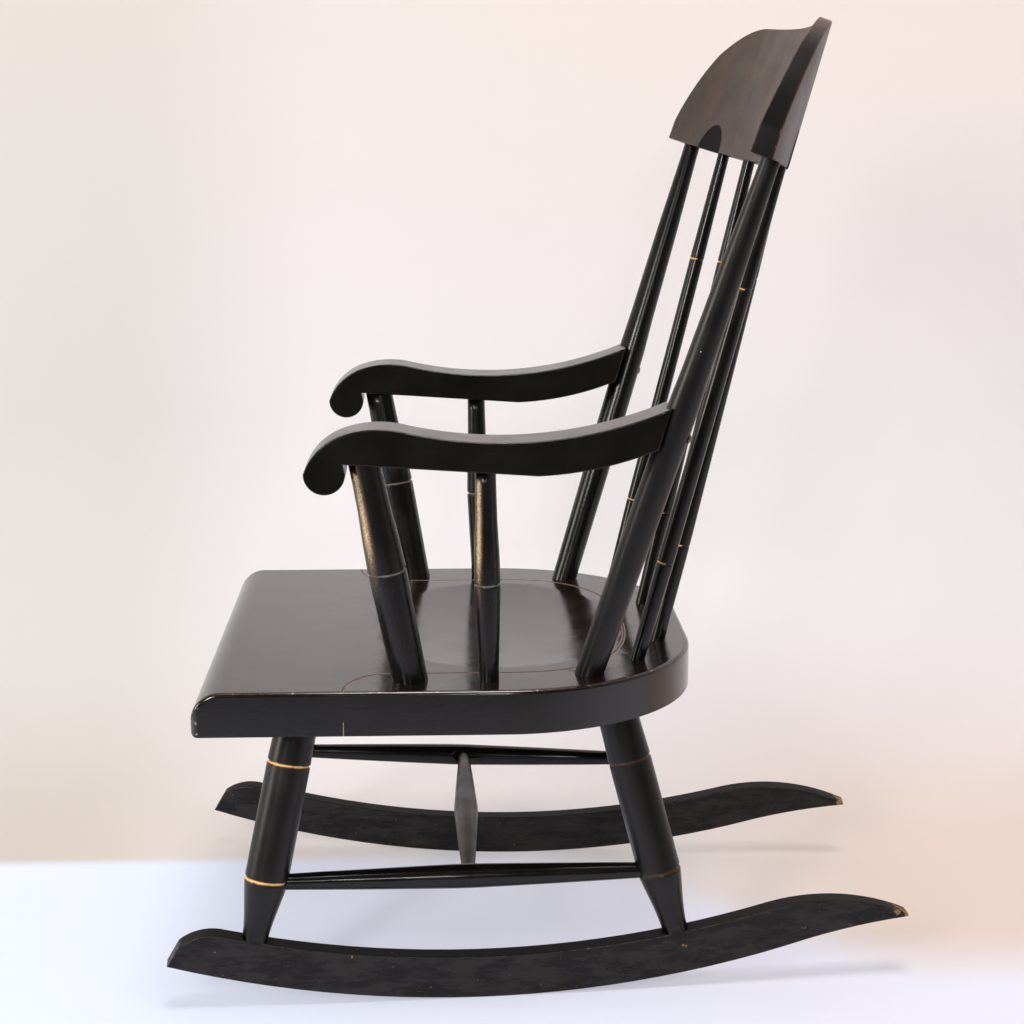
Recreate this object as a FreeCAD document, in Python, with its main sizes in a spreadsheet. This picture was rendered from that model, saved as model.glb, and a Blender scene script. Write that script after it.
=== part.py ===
# Child's Boston rocking chair, in millimetres.
# The floor is z = 0, the sitter looks along -Y, and the chair is the same on both sides of x = 0.
import FreeCAD, Part
import math
import os
import Sketcher
from FreeCAD import Placement, Rotation, Vector

doc = FreeCAD.newDocument("boston_rocking_chair")

# Driving sizes, one named cell each
SIZES = {
    # Fits: the room round a tenon, and the room past its end
    "fit_clearance": 0.1,
    "mortise_end_room": 0.5,
    "turning_end_land": 10,
    "trim_allowance": 6,
    # Runners: a long bottom arc turns up to a raised heel, and the nose is raked
    "runner_thickness": 15,
    "runner_spread": 138.6,
    "runner_toe_angle": 4.35,
    "runner_arc_radius": 810,
    "runner_low_y": -35.1,
    "runner_front_y": -268.25,
    "runner_turn_y": 193.25,
    "runner_heel_y": 268.25,
    "runner_heel_rise": 46.8,
    "runner_heel_thickness": 2,
    "runner_turn_bow": 1.5,
    "runner_hump_y": 166.25,
    "runner_hump_rise": 57.5,
    "runner_hump_bow": 8.4,
    "runner_waist_bow": 24.9,
    "runner_nose_y": -226.75,
    "runner_nose_rise": 54.6,
    "runner_nose_bow": 4,
    "runner_tip_y": -259.75,
    "runner_tip_rise": 49,
    "foot_trim_width": 40,
    # Legs: one turning for all four, cut to the runner at the foot and to the seat at the top
    "front_foot_y": -206.25,
    "rear_foot_y": 96.25,
    "front_leg_seat_x": 124,
    "front_leg_seat_y": -173.25,
    "rear_leg_seat_x": 107,
    "rear_leg_seat_y": 51.95,
    "front_foot_stub": 3,
    "rear_foot_stub": 5.5,
    "leg_foot_diameter": 18.6,
    "leg_flare_station": 20,
    "leg_flare_diameter": 24.4,
    "leg_flare_hollow": 0.3,
    "leg_socket_station": 31,
    "leg_socket_diameter": 28.6,
    "leg_drum_station": 38.5,
    "leg_drum_diameter": 31,
    "leg_drum_length": 87,
    "leg_seat_diameter": 28.8,
    "leg_tenon_diameter": 15,
    "leg_tenon_length": 18,
    "foot_tenon_diameter": 8,
    "foot_tenon_length": 14,
    "leg_ring_width": 3,
    "leg_ring_depth": 1.2,
    # Stretchers: plain cigar turnings, held in round holes
    "front_stretcher_station": 37.5,
    "rear_stretcher_station": 40,
    "side_stretcher_end_diameter": 11.4,
    "side_stretcher_middle_diameter": 17.4,
    "cross_stretcher_y": -53.75,
    "cross_stretcher_end_diameter": 9,
    "cross_stretcher_middle_diameter": 18.5,
    "stretcher_land": 14,
    "stretcher_swell": 0.2,
    "stretcher_end_past_axis": 2,
    # Seat: one board, rolled down at the front and hollowed for the sitter
    "seat_height": 239,
    "seat_thickness": 31,
    "seat_half_width": 183,
    "seat_front_y": -242.75,
    "seat_rear_y": 112.25,
    "seat_corner_radius": 140.5,
    "seat_nose_radius": 20.5,
    "seat_front_corner": 6,
    "seat_top_round": 3,
    "seat_toe_round": 4,
    "hollow_depth": 4.5,
    "hollow_half_width": 128,
    "hollow_half_length": 98,
    "hollow_centre_y": -30,
    "hollow_bowl_rise": 60,
    # Crest rail: a board bent round the sitter, with a tombstone outline, leaning back and tapered
    "crest_rise": 348.1,
    "crest_front_y": 161.1,
    "crest_rake": 19.05,
    "crest_foot_thickness": 15.6,
    "crest_top_thickness": 9.3,
    "crest_bend_radius": 644,
    "crest_half_width": 225.5,
    "crest_height": 101.8,
    "crest_heel_height": 16,
    "crest_shoulder_half_width": 188,
    "crest_shoulder_height": 76,
    "crest_cheek_bow": 5,
    "crest_top_half_width": 106,
    "crest_shoulder_bow": 6.8,
    "crest_head_set_back": 2,
    # Back posts and spindles
    "post_seat_x": 142,
    "post_seat_y": 31.15,
    "post_crest_x": 201.2,
    "post_seat_diameter": 19.7,
    "post_belly_station": 128,
    "post_waist_station": 200,
    "post_belly_diameter": 21.3,
    "post_neck_station": 229,
    "post_neck_diameter": 19.2,
    "post_upper_station": 303,
    "post_upper_diameter": 16.7,
    "post_top_diameter": 13,
    "post_tenon_diameter": 13,
    "post_tenon_length": 22,
    "post_top_tenon_diameter": 8,
    "crest_tenon_length": 14,
    "spindle_tenon_length": 18,
    "outer_spindle_seat_x": 108,
    "outer_spindle_seat_y": 68.25,
    "outer_spindle_crest_x": 134,
    "inner_spindle_seat_x": 56,
    "inner_spindle_seat_y": 88.25,
    "inner_spindle_crest_x": 67,
    "middle_spindle_seat_y": 91.75,
    "spindle_seat_diameter": 10.5,
    "spindle_lower_ring_station": 75,
    "spindle_lower_ring_diameter": 12,
    "spindle_upper_ring_station": 276,
    "spindle_upper_ring_diameter": 11,
    "spindle_top_diameter": 9.3,
    "spindle_top_tenon_diameter": 6.5,
    "spindle_ring_width": 2,
    "spindle_ring_depth": 0.5,
    # Arms: a flat board shaped in side view, with a scroll at the front
    "arm_centre_x": 166,
    "arm_width": 35,
    "arm_rise": 150,
    "scroll_y": -148.95,
    "scroll_radius": 14,
    "arm_brow_y": -138.15,
    "arm_brow_rise": 25.7,
    "arm_brow_bow": 4,
    "arm_crown_y": -98.75,
    "arm_crown_rise": 28.7,
    "arm_crown_bow": 2.7,
    "arm_sweep_y": 35.25,
    "arm_sweep_rise": 28,
    "arm_sweep_bow": 7.7,
    "arm_heel_rise": 42.7,
    "arm_heel_bow": 1,
    "arm_heel_thickness": 27.9,
    "arm_belly_y": -6.75,
    "arm_belly_rise": -2.2,
    "arm_belly_bow": 3.5,
    "scroll_notch_run": 12.45,
    "arm_cope_depth": 2.5,
    # Arm supports
    "front_support_seat_x": 154,
    "front_support_seat_y": -93.75,
    "front_support_arm_x": 168,
    "front_support_arm_y": -122.75,
    "front_support_foot_diameter": 24.6,
    "front_support_ring_station": 81,
    "front_support_ring_diameter": 26.4,
    "front_support_waist_station": 104,
    "front_support_waist_diameter": 25,
    "front_support_neck_station": 126,
    "front_support_neck_diameter": 22.4,
    "front_support_top_diameter": 21.6,
    "support_ring_width": 3,
    "support_ring_depth": 1.2,
    "middle_support_seat_x": 157,
    "middle_support_seat_y": -39.25,
    "middle_support_arm_x": 166,
    "middle_support_arm_y": -41.75,
    "middle_support_foot_diameter": 13.9,
    "middle_support_ring_station": 70,
    "middle_support_ring_diameter": 18.3,
    "middle_support_waist_station": 92,
    "middle_support_waist_diameter": 17.2,
    "middle_support_neck_station": 114,
    "middle_support_neck_diameter": 15.2,
    "middle_support_top_diameter": 14.4,
    "front_support_tenon_diameter": 11,
    "middle_support_tenon_diameter": 8,
    "support_tenon_length": 15,
    # Screws through the back posts into the arms
    "screw_station": 184,
    "screw_head_diameter": 7,
    "screw_head_height": 2.2,
    "screw_shank_diameter": 3,
    "screw_length": 42,
}

sheet = doc.addObject("Spreadsheet::Sheet", "Sizes")
for row, (name, value) in enumerate(SIZES.items(), start=1):
    sheet.set(f"A{row}", name)
    sheet.set(f"B{row}", str(value))
    sheet.setAlias(f"B{row}", name)
doc.recompute()


class Size:
    """A length that holds its number and the sheet formula that gives it."""

    def __init__(self, number, formula):
        self.number = float(number)
        self.formula = formula

    def __add__(self, other):
        other = as_size(other)
        return Size(self.number + other.number, f"({self.formula} + {other.formula})")

    def __sub__(self, other):
        other = as_size(other)
        return Size(self.number - other.number, f"({self.formula} - {other.formula})")

    def __mul__(self, other):
        other = as_size(other)
        return Size(self.number * other.number, f"({self.formula} * {other.formula})")

    def __truediv__(self, other):
        other = as_size(other)
        return Size(self.number / other.number, f"({self.formula} / {other.formula})")

    def __neg__(self):
        return Size(-self.number, f"(0 - {self.formula})")

    def __float__(self):
        return self.number


def as_size(value):
    """Give a plain number the same form as a named size."""
    return value if isinstance(value, Size) else Size(value, repr(float(value)))


def root(value):
    """The square root of a size."""
    return Size(math.sqrt(value.number), f"sqrt({value.formula})")


class NamedSizes:
    """The cells of the sheet, each read by its name."""

    def __getattr__(self, name):
        return Size(sheet.get(name), f"Sizes.{name}")


size = NamedSizes()


# Sketched outlines
def origin_plane(body, role):
    """Find one of a body's own origin planes."""
    return next(item for item in body.Origin.OriginFeatures if item.Role == role)


def new_body(name):
    """Start a body with a name of its own."""
    body = doc.addObject("PartDesign::Body", name)
    body.Label = name
    return body


def bow_point(start, end, bow):
    """The middle of an arc from start to end that bulges to the right by its bow."""
    along = end - start
    right = Vector(along.y, -along.x, 0).normalize()
    return (start + end) * 0.5 + right * bow


def bow_radius(start, end, bow):
    """The radius of that arc, as a formula of its chord and its bow."""
    run = end[0] - start[0]
    rise = end[1] - start[1]
    height = bow if bow.number > 0 else -bow
    return (run * run + rise * rise) / (height * 8) + height / 2


def pin(sketch, place, name, across, up):
    """Hold a point of a sketch at a place that the sheet gives."""
    for way, kind, distance in (("across", "DistanceX", across), ("up", "DistanceY", up)):
        index = sketch.addConstraint(Sketcher.Constraint(kind, *place, distance.number))
        sketch.renameConstraint(index, f"{name}_{way}")
        sketch.setExpression(f"Constraints.{name}_{way}", distance.formula)


def add_arc(sketch, first, last, start, end, bow, name):
    """Add an arc with a bow, its radius bound to the sheet, and give its index and its ends."""
    edge = sketch.addGeometry(Part.Arc(first, bow_point(first, last, bow.number), last), False)
    radius = bow_radius(start, end, bow)
    index = sketch.addConstraint(Sketcher.Constraint("Radius", edge, radius.number))
    sketch.renameConstraint(index, f"{name}_radius")
    sketch.setExpression(f"Constraints.{name}_radius", radius.formula)
    return (edge, 1, 2) if bow.number > 0 else (edge, 2, 1)


def add_taper(sketch, first, last, start, end, _, name):
    """Add a straight three-pole spline, which turns into far fewer facets than a long cone."""
    curve = Part.BSplineCurve()
    curve.buildFromPolesMultsKnots([first, (first + last) * 0.5, last], [3, 3], [0, 1], False, 2)
    edge = sketch.addGeometry(curve, False)
    middle_pole = sketch.GeometryCount + 1
    sketch.exposeInternalGeometry(edge)
    pin(sketch, (middle_pole, 3), f"{name}_pole", (start[0] + end[0]) / 2, (start[1] + end[1]) / 2)
    return edge, 1, 2


def draw_outline(sketch, corners, label="outline", add_curve=add_arc):
    """Draw a closed outline through corners (x, y, bow), counter-clockwise.

    The bow belongs to the stretch that ends at its corner: None is a straight line, and a positive
    bow bulges outwards.
    """
    points = [(as_size(x), as_size(y)) for x, y, _ in corners]
    ends = []
    for number, (_, _, bow) in enumerate(corners):
        start, end = points[number - 1], points[number]
        first = Vector(start[0].number, start[1].number, 0)
        last = Vector(end[0].number, end[1].number, 0)
        if bow is None:
            ends.append((sketch.addGeometry(Part.LineSegment(first, last), False), 1, 2))
        else:
            name = f"{label}_{number}"
            ends.append(add_curve(sketch, first, last, start, end, as_size(bow), name))
    for number, (edge, _, far_end) in enumerate(ends):
        following, near_end, _ = ends[(number + 1) % len(ends)]
        sketch.addConstraint(Sketcher.Constraint("Coincident", edge, far_end, following, near_end))
        pin(sketch, (edge, far_end), f"{label}_corner_{number}", *points[number])


def new_sketch(body, role, corners, add_curve=add_arc):
    """Draw an outline on one of the body's origin planes."""
    sketch = body.newObject("Sketcher::SketchObject", f"{body.Name}_outline")
    sketch.AttachmentSupport = [(origin_plane(body, role), "")]
    sketch.MapMode = "FlatFace"
    draw_outline(sketch, corners, add_curve=add_curve)
    return sketch


def padded(name, role, corners, thickness):
    """A board: an outline given thickness, half to each side of its plane."""
    body = new_body(name)
    pad = body.newObject("PartDesign::Pad", f"{name}_board")
    pad.Profile = new_sketch(body, role, corners)
    pad.Midplane = True
    pad.setExpression("Length", thickness.formula)
    return body


def turning_corners(profile):
    """The corners of a turning's half profile, given as (station, diameter, steps, bow).

    A stretch of no steps is a plain line. One of several steps follows a parabola with that bow, in
    short tapers.
    """
    corners = [(0, profile[0][0], None)]
    for number, (station, diameter, steps, bow) in enumerate(profile):
        station = as_size(station)
        radius = as_size(diameter) / 2
        if not steps:
            corners.append((radius, station, None))
            continue
        last_station = as_size(profile[number - 1][0])
        last_radius = as_size(profile[number - 1][1]) / 2
        for step in range(1, steps + 1):
            share = step / steps
            swell = as_size(bow) * (4 * share * (1 - share))
            step_radius = last_radius + (radius - last_radius) * share + swell
            corners.append((step_radius, last_station + (station - last_station) * share, 0))
    corners.append((0, profile[-1][0], None))
    return corners


def turned(name, start, end, profile):
    """A turning: a half profile spun about the line from start to end."""
    body = new_body(name)
    spin = body.newObject("PartDesign::Revolution", f"{name}_turning")
    sketch = new_sketch(body, "XZ_Plane", turning_corners(profile), add_taper)
    spin.Profile = sketch
    spin.ReferenceAxis = (sketch, ["V_Axis"])
    spin.Angle = 360
    body.Placement = along_line(start, end)
    return body


def ring(station, width, diameter, depth, steps=1):
    """The corners of a groove cut with the skew, and of the stretch that comes to it."""
    return [
        (station - width / 2, diameter, steps, 0),
        (station, diameter - depth * 2, 0, 0),
        (station + width / 2, diameter, 0, 0),
    ]


# Axes, tenons and mortises
def along_line(start, end):
    """The place of a piece whose own Z runs from start to end."""
    return Placement(start, Rotation(Vector(0, 0, 1), end - start))


def point_on(start, end, distance):
    """The point at a distance from start, on the way to end."""
    return start + (end - start).normalize() * float(distance)


def rod(name, start, end, diameter):
    """A cylinder from start to end whose diameter comes from the sheet."""
    cylinder = doc.addObject("Part::Cylinder", name)
    cylinder.setExpression("Radius", (diameter / 2).formula)
    cylinder.Height = (end - start).Length
    cylinder.Placement = along_line(start, end)
    return cylinder


def fused(name, pieces):
    """Join pieces into one."""
    union = doc.addObject("Part::MultiFuse", name)
    union.Shapes = pieces
    return union


def cut_from(name, base, tools):
    """Take tools away from a piece."""
    cut = doc.addObject("Part::Cut", name)
    cut.Base = base
    cut.Tool = tools[0] if len(tools) == 1 else fused(f"{name}_tools", tools)
    return cut


mortises = {}


def tenon(owner, name, root_point, tip, diameter):
    """A tenon on the line from root_point to tip, and the mortise for it in its owner."""
    hole_end = point_on(root_point, tip, (tip - root_point).Length + float(size.mortise_end_room))
    hole = rod(f"{name}_mortise", root_point, hole_end, diameter + size.fit_clearance * 2)
    mortises.setdefault(owner, []).append(hole)
    return rod(f"{name}_tenon", root_point, tip, diameter)


def side_of(side):
    """The word for a side, +1 for the sitter's left."""
    return "left" if side > 0 else "right"


kept = {}


def keep(node, piece):
    """Give a finished piece its name."""
    piece.Label = node
    kept[node] = piece
    return piece


# Runners
def runner_bottom(y):
    """The height of the bottom arc at a place along the runner."""
    away = y - size.runner_low_y
    return size.runner_arc_radius - root(size.runner_arc_radius * size.runner_arc_radius - away * away)


def runner_corners():
    """The side view of a runner, from the nose along the bottom to the heel and back."""
    front_rise = runner_bottom(size.runner_front_y)
    turn_rise = runner_bottom(size.runner_turn_y)
    run = size.runner_turn_y - size.runner_front_y
    rise = turn_rise - front_rise
    half_chord = root(run * run + rise * rise) / 2
    radius = size.runner_arc_radius
    bottom_bow = radius - root(radius * radius - half_chord * half_chord)
    return [
        (size.runner_front_y, front_rise, None),
        (size.runner_turn_y, turn_rise, bottom_bow),
        (size.runner_heel_y, size.runner_heel_rise, -size.runner_turn_bow),
        (size.runner_heel_y, size.runner_heel_rise + size.runner_heel_thickness, None),
        (size.runner_hump_y, size.runner_hump_rise, size.runner_hump_bow),
        (size.runner_nose_y, size.runner_nose_rise, -size.runner_waist_bow),
        (size.runner_tip_y, size.runner_tip_rise, size.runner_nose_bow),
    ]


def runner_top(y):
    """The height of the hollow top of a runner at a place along it."""
    first = Vector(size.runner_hump_y.number, size.runner_hump_rise.number, 0)
    last = Vector(size.runner_nose_y.number, size.runner_nose_rise.number, 0)
    waist = size.runner_waist_bow.number
    radius = ((last - first).Length ** 2 / 4 + waist ** 2) / (2 * waist)
    centre = bow_point(first, last, radius - waist)
    return centre.y - math.sqrt(radius ** 2 - (y - centre.x) ** 2)


def runner_place(side):
    """The runners close in towards the heel."""
    turn = Rotation(Vector(0, 0, 1), float(size.runner_toe_angle) * side)
    return Placement(Vector(float(size.runner_spread) * side, 0, 0), turn)


def runner_point(y, side):
    """A point on the hollow top of a runner, over its middle line."""
    return runner_place(side).multVec(Vector(0, float(y), runner_top(float(y))))


runner_blank = {}
foot_trim = {}
for side in (1, -1):
    board = padded(f"runner_blank_{side_of(side)}", "YZ_Plane", runner_corners(), size.runner_thickness)
    trim = padded(f"foot_trim_{side_of(side)}", "YZ_Plane", runner_corners(), size.foot_trim_width)
    board.Placement = runner_place(side)
    trim.Placement = runner_place(side)
    runner_blank[side] = board
    foot_trim[side] = trim

# Seat: one board, rolled at the front, cut to its plan outline, rounded and hollowed
seat_top = float(size.seat_height)
seat_under = size.seat_height - size.seat_thickness
front = size.seat_front_y
rear = size.seat_rear_y
half = size.seat_half_width
nose = size.seat_nose_radius
corner = size.seat_front_corner
rear_half = half - size.seat_corner_radius
side_end = rear - size.seat_corner_radius
quarter_turn = 1 - math.sqrt(0.5)
corner_bow = corner * quarter_turn
rear_bow = size.seat_corner_radius * quarter_turn
toe = size.seat_toe_round
side_view = [
    (front + toe, seat_under, toe * quarter_turn),
    (rear, seat_under, None),
    (rear, size.seat_height, None),
    (front + nose, size.seat_height, None),
    (front, size.seat_height - nose, nose * quarter_turn),
    (front, seat_under + toe, None),
]
plan_view = [
    (-half + corner, front, corner_bow),
    (half - corner, front, None),
    (half, front + corner, corner_bow),
    (half, side_end, None),
    (rear_half, rear, rear_bow),
    (-rear_half, rear, None),
    (-half, side_end, rear_bow),
    (-half, front + corner, None),
]
around = [
    (-half * 2, front * 2, None),
    (half * 2, front * 2, None),
    (half * 2, rear * 2, None),
    (-half * 2, rear * 2, None),
]
seat_blank = padded("seat_blank", "YZ_Plane", side_view, half * 3)
plan_cut = seat_blank.newObject("PartDesign::Pocket", "seat_plan_cut")
plan_sketch = seat_blank.newObject("Sketcher::SketchObject", "seat_plan")
plan_sketch.AttachmentSupport = [(origin_plane(seat_blank, "XY_Plane"), "")]
plan_sketch.MapMode = "FlatFace"
draw_outline(plan_sketch, plan_view, "plan")
draw_outline(plan_sketch, around, "around")
plan_cut.Profile = plan_sketch
plan_cut.Midplane = True
plan_cut.Type = "Length"
plan_cut.setExpression("Length", (size.seat_height * 3).formula)
doc.recompute()


def rounded(body, name, radius, wanted):
    """Round the wanted edges of a body's last shape."""
    base = body.Tip
    names = [f"Edge{number}" for number, edge in enumerate(base.Shape.Edges, start=1) if wanted(edge)]
    fillet = body.newObject("PartDesign::Fillet", name)
    fillet.Base = (base, names)
    fillet.setExpression("Radius", radius.formula)
    doc.recompute()
    return fillet


def lies_at(edge, height):
    """True for an edge that lies flat at a height."""
    box = edge.BoundBox
    return abs(box.ZMin - height) < 0.01 and abs(box.ZMax - height) < 0.01


def is_side_top(edge):
    """The seat's top edge, without the line where the roll starts."""
    across = edge.BoundBox.YLength < 0.01 and edge.BoundBox.YMax < 0
    return lies_at(edge, seat_top) and not across


rounded(seat_blank, "seat_top_edge", size.seat_top_round, is_side_top)

# The hollow is the low side of a flattened ball
bowl = size.hollow_bowl_rise
spread = root(bowl * bowl - (bowl - size.hollow_depth) * (bowl - size.hollow_depth))
hollow = seat_blank.newObject("PartDesign::SubtractiveEllipsoid", "seat_hollow")
hollow.setExpression("Radius1", bowl.formula)
hollow.setExpression("Radius2", (size.hollow_half_width * bowl / spread).formula)
hollow.setExpression("Radius3", (size.hollow_half_length * bowl / spread).formula)
hollow_height = seat_top + float(bowl) - float(size.hollow_depth)
hollow.Placement = Placement(Vector(0, float(size.hollow_centre_y), hollow_height), Rotation())


def on_seat(x, y, side=1):
    """A point on the seat's top."""
    return Vector(float(x) * side, float(y), seat_top)


def under_seat(x, y, side=1):
    """A point on the seat's underside."""
    return Vector(float(x) * side, float(y), float(seat_under))


# Crest rail: a board bent round the sitter and thinned towards its top, cut to a tombstone outline
crest_place = Placement(
    Vector(0, float(size.crest_front_y), seat_top + float(size.crest_rise)),
    Rotation(Vector(1, 0, 0), -float(size.crest_rake)),
)
thinning = math.degrees(math.atan(
    float((size.crest_foot_thickness - size.crest_top_thickness) / size.crest_height)))
back_place = crest_place * Placement(
    Vector(0, float(size.crest_foot_thickness), 0), Rotation(Vector(1, 0, 0), thinning))
bend = size.crest_bend_radius
reach = size.crest_half_width + size.trim_allowance
drop = bend - root(bend * bend - reach * reach)
slab = size.crest_height
front_bend = [
    (-reach, -drop, None),
    (reach, -drop, -drop),
    (reach, slab, None),
    (-reach, slab, None),
]
back_bend = [
    (-reach, -drop - slab, None),
    (reach, -drop - slab, None),
    (reach, -drop, None),
    (-reach, -drop, drop),
]
tombstone = [
    (-size.crest_half_width, 0, None),
    (size.crest_half_width, 0, None),
    (size.crest_half_width, size.crest_heel_height, None),
    (size.crest_shoulder_half_width, size.crest_shoulder_height, size.crest_cheek_bow),
    (size.crest_top_half_width, size.crest_height, size.crest_shoulder_bow),
    (-size.crest_top_half_width, size.crest_height, None),
    (-size.crest_shoulder_half_width, size.crest_shoulder_height, size.crest_shoulder_bow),
    (-size.crest_half_width, size.crest_heel_height, size.crest_cheek_bow),
]
crest_front = padded("crest_front", "XZ_Plane", tombstone, size.crest_bend_radius)
crest_front.Placement = crest_place
bent_front = padded("bent_front", "XY_Plane", front_bend, size.crest_height * 3)
bent_front.Placement = crest_place
bent_back = padded("bent_back", "XY_Plane", back_bend, size.crest_height * 3)
bent_back.Placement = back_place
crest_board = doc.addObject("Part::Common", "crest_board")
crest_board.Base = bent_front
crest_board.Tool = bent_back
crest_blank = doc.addObject("Part::Common", "crest_blank")
crest_blank.Base = crest_board
crest_blank.Tool = crest_front


def under_crest(x, side=1):
    """A point on the crest's lower edge, a little behind the middle of its thickness."""
    sag = float(bend) - math.sqrt(float(bend) ** 2 - float(x) ** 2)
    behind = float(size.crest_foot_thickness / 2 + size.crest_head_set_back)
    return crest_place.multVec(Vector(float(x) * side, behind - sag, 0))


def back_turning(name, foot, head, profile, foot_tenon, foot_length, head_tenon):
    """A post or a spindle: let into the seat at its foot and into the crest at its head."""
    blank = turned(f"{name}_blank", foot, head, profile)
    shaped = cut_from(f"{name}_shaped", blank, [seat_blank, crest_front])
    inside_foot = point_on(foot, head, size.trim_allowance)
    inside_head = point_on(head, foot, size.trim_allowance)
    into_seat = point_on(foot, head, -foot_length)
    into_crest = point_on(head, foot, -size.crest_tenon_length)
    foot_peg = tenon("seat", f"{name}_foot", inside_foot, into_seat, foot_tenon)
    head_peg = tenon("crest_rail", f"{name}_head", inside_head, into_crest, head_tenon)
    return fused(name, [shaped, foot_peg, head_peg])


# Back posts
def post_ends(side):
    """Where a back post's axis meets the seat and the crest."""
    return on_seat(size.post_seat_x, size.post_seat_y, side), under_crest(size.post_crest_x, side)


post = {}
for side in (1, -1):
    name = f"back_post_{side_of(side)}"
    foot, head = post_ends(side)
    length = as_size((head - foot).Length)
    profile = [
        (-size.trim_allowance, size.post_seat_diameter, 0, 0),
        (size.turning_end_land, size.post_seat_diameter, 0, 0),
        (size.post_belly_station, size.post_belly_diameter, 1, 0),
        (size.post_waist_station, size.post_belly_diameter, 0, 0),
        (size.post_neck_station, size.post_neck_diameter, 1, 0),
        (size.post_upper_station, size.post_upper_diameter, 1, 0),
        (length - size.turning_end_land, size.post_top_diameter, 2, 0),
        (length + size.trim_allowance, size.post_top_diameter, 0, 0),
    ]
    post[side] = back_turning(name, foot, head, profile, size.post_tenon_diameter,
                              size.post_tenon_length, size.post_top_tenon_diameter)

# Back spindles, numbered from the sitter's right: each has a ring near its foot and near its head
spindle_places = [
    (size.outer_spindle_seat_x, size.outer_spindle_seat_y, size.outer_spindle_crest_x, -1),
    (size.inner_spindle_seat_x, size.inner_spindle_seat_y, size.inner_spindle_crest_x, -1),
    (as_size(0), size.middle_spindle_seat_y, as_size(0), 1),
    (size.inner_spindle_seat_x, size.inner_spindle_seat_y, size.inner_spindle_crest_x, 1),
    (size.outer_spindle_seat_x, size.outer_spindle_seat_y, size.outer_spindle_crest_x, 1),
]
for number, (foot_x, foot_y, head_x, side) in enumerate(spindle_places, start=1):
    name = f"back_spindle_{number}"
    foot = on_seat(foot_x, foot_y, side)
    head = under_crest(head_x, side)
    width = size.spindle_ring_width
    depth = size.spindle_ring_depth
    length = as_size((head - foot).Length)
    profile = [
        (-size.trim_allowance, size.spindle_seat_diameter, 0, 0),
        (size.turning_end_land, size.spindle_seat_diameter, 0, 0),
        *ring(size.spindle_lower_ring_station, width, size.spindle_lower_ring_diameter, depth),
        *ring(size.spindle_upper_ring_station, width, size.spindle_upper_ring_diameter, depth),
        (length - size.turning_end_land, size.spindle_top_diameter, 1, 0),
        (length + size.trim_allowance, size.spindle_top_diameter, 0, 0),
    ]
    spindle = back_turning(name, foot, head, profile, size.spindle_seat_diameter,
                           size.spindle_tenon_length, size.spindle_top_tenon_diameter)
    keep(name, spindle)

# Arms: shaped in side view, with a scroll in front and a cope round the back post behind
arm_level = size.seat_height + size.arm_rise
post_foot, post_head = post_ends(1)
post_lean = (post_head.y - post_foot.y) / (post_head.z - post_foot.z)
post_half = size.post_belly_diameter / 2 * math.sqrt(1 + post_lean ** 2)


def post_front(height):
    """The front of the back post, as seen from the side, at a height over the seat."""
    return size.post_seat_y + height * post_lean - post_half


heel_top = size.arm_heel_rise + size.arm_rise
heel_under = heel_top - size.arm_heel_thickness
notch_rise = root(size.scroll_radius * size.scroll_radius - size.scroll_notch_run * size.scroll_notch_run)
cope = size.arm_cope_depth
scroll = size.scroll_radius
arm_view = [
    (size.scroll_y - scroll, arm_level, size.arm_brow_bow),
    (size.scroll_y, arm_level - scroll, scroll * quarter_turn),
    (size.scroll_y + scroll, arm_level, scroll * quarter_turn),
    (size.scroll_y + size.scroll_notch_run, arm_level + notch_rise, None),
    (size.arm_belly_y, arm_level + size.arm_belly_rise, None),
    (post_front(heel_under) + cope, size.seat_height + heel_under, size.arm_belly_bow),
    (post_front(heel_top) + cope, size.seat_height + heel_top, None),
    (size.arm_sweep_y, arm_level + size.arm_sweep_rise, -size.arm_heel_bow),
    (size.arm_crown_y, arm_level + size.arm_crown_rise, -size.arm_sweep_bow),
    (size.arm_brow_y, arm_level + size.arm_brow_rise, size.arm_crown_bow),
]
arm_blank = {}
for side in (1, -1):
    board = padded(f"arm_blank_{side_of(side)}", "YZ_Plane", arm_view, size.arm_width)
    board.Placement = Placement(Vector(float(size.arm_centre_x) * side, 0, 0), Rotation())
    arm_blank[side] = board


def under_arm(x, y, side):
    """A point on the arm's underside, by the straight stretch behind the scroll."""
    start_y = float(size.scroll_y + size.scroll_notch_run)
    start_z = float(arm_level + notch_rise)
    end_z = float(arm_level + size.arm_belly_rise)
    share = (float(y) - start_y) / (float(size.arm_belly_y) - start_y)
    return Vector(float(x) * side, float(y), start_z + (end_z - start_z) * share)


# Arm supports
def arm_support(name, side, foot, head, profile, peg):
    """A turned support: cut to the seat at its foot and to the arm at its head."""
    blank = turned(f"{name}_blank", foot, head, profile)
    shaped = cut_from(f"{name}_shaped", blank, [seat_blank, arm_blank[side]])
    inside_foot = point_on(foot, head, size.trim_allowance)
    inside_head = point_on(head, foot, size.trim_allowance)
    into_seat = point_on(foot, head, -size.support_tenon_length)
    into_arm = point_on(head, foot, -size.support_tenon_length)
    foot_peg = tenon("seat", f"{name}_foot", inside_foot, into_seat, peg)
    head_peg = tenon(f"arm_{side_of(side)}", f"{name}_head", inside_head, into_arm, peg)
    return keep(name, fused(name, [shaped, foot_peg, head_peg]))


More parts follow.
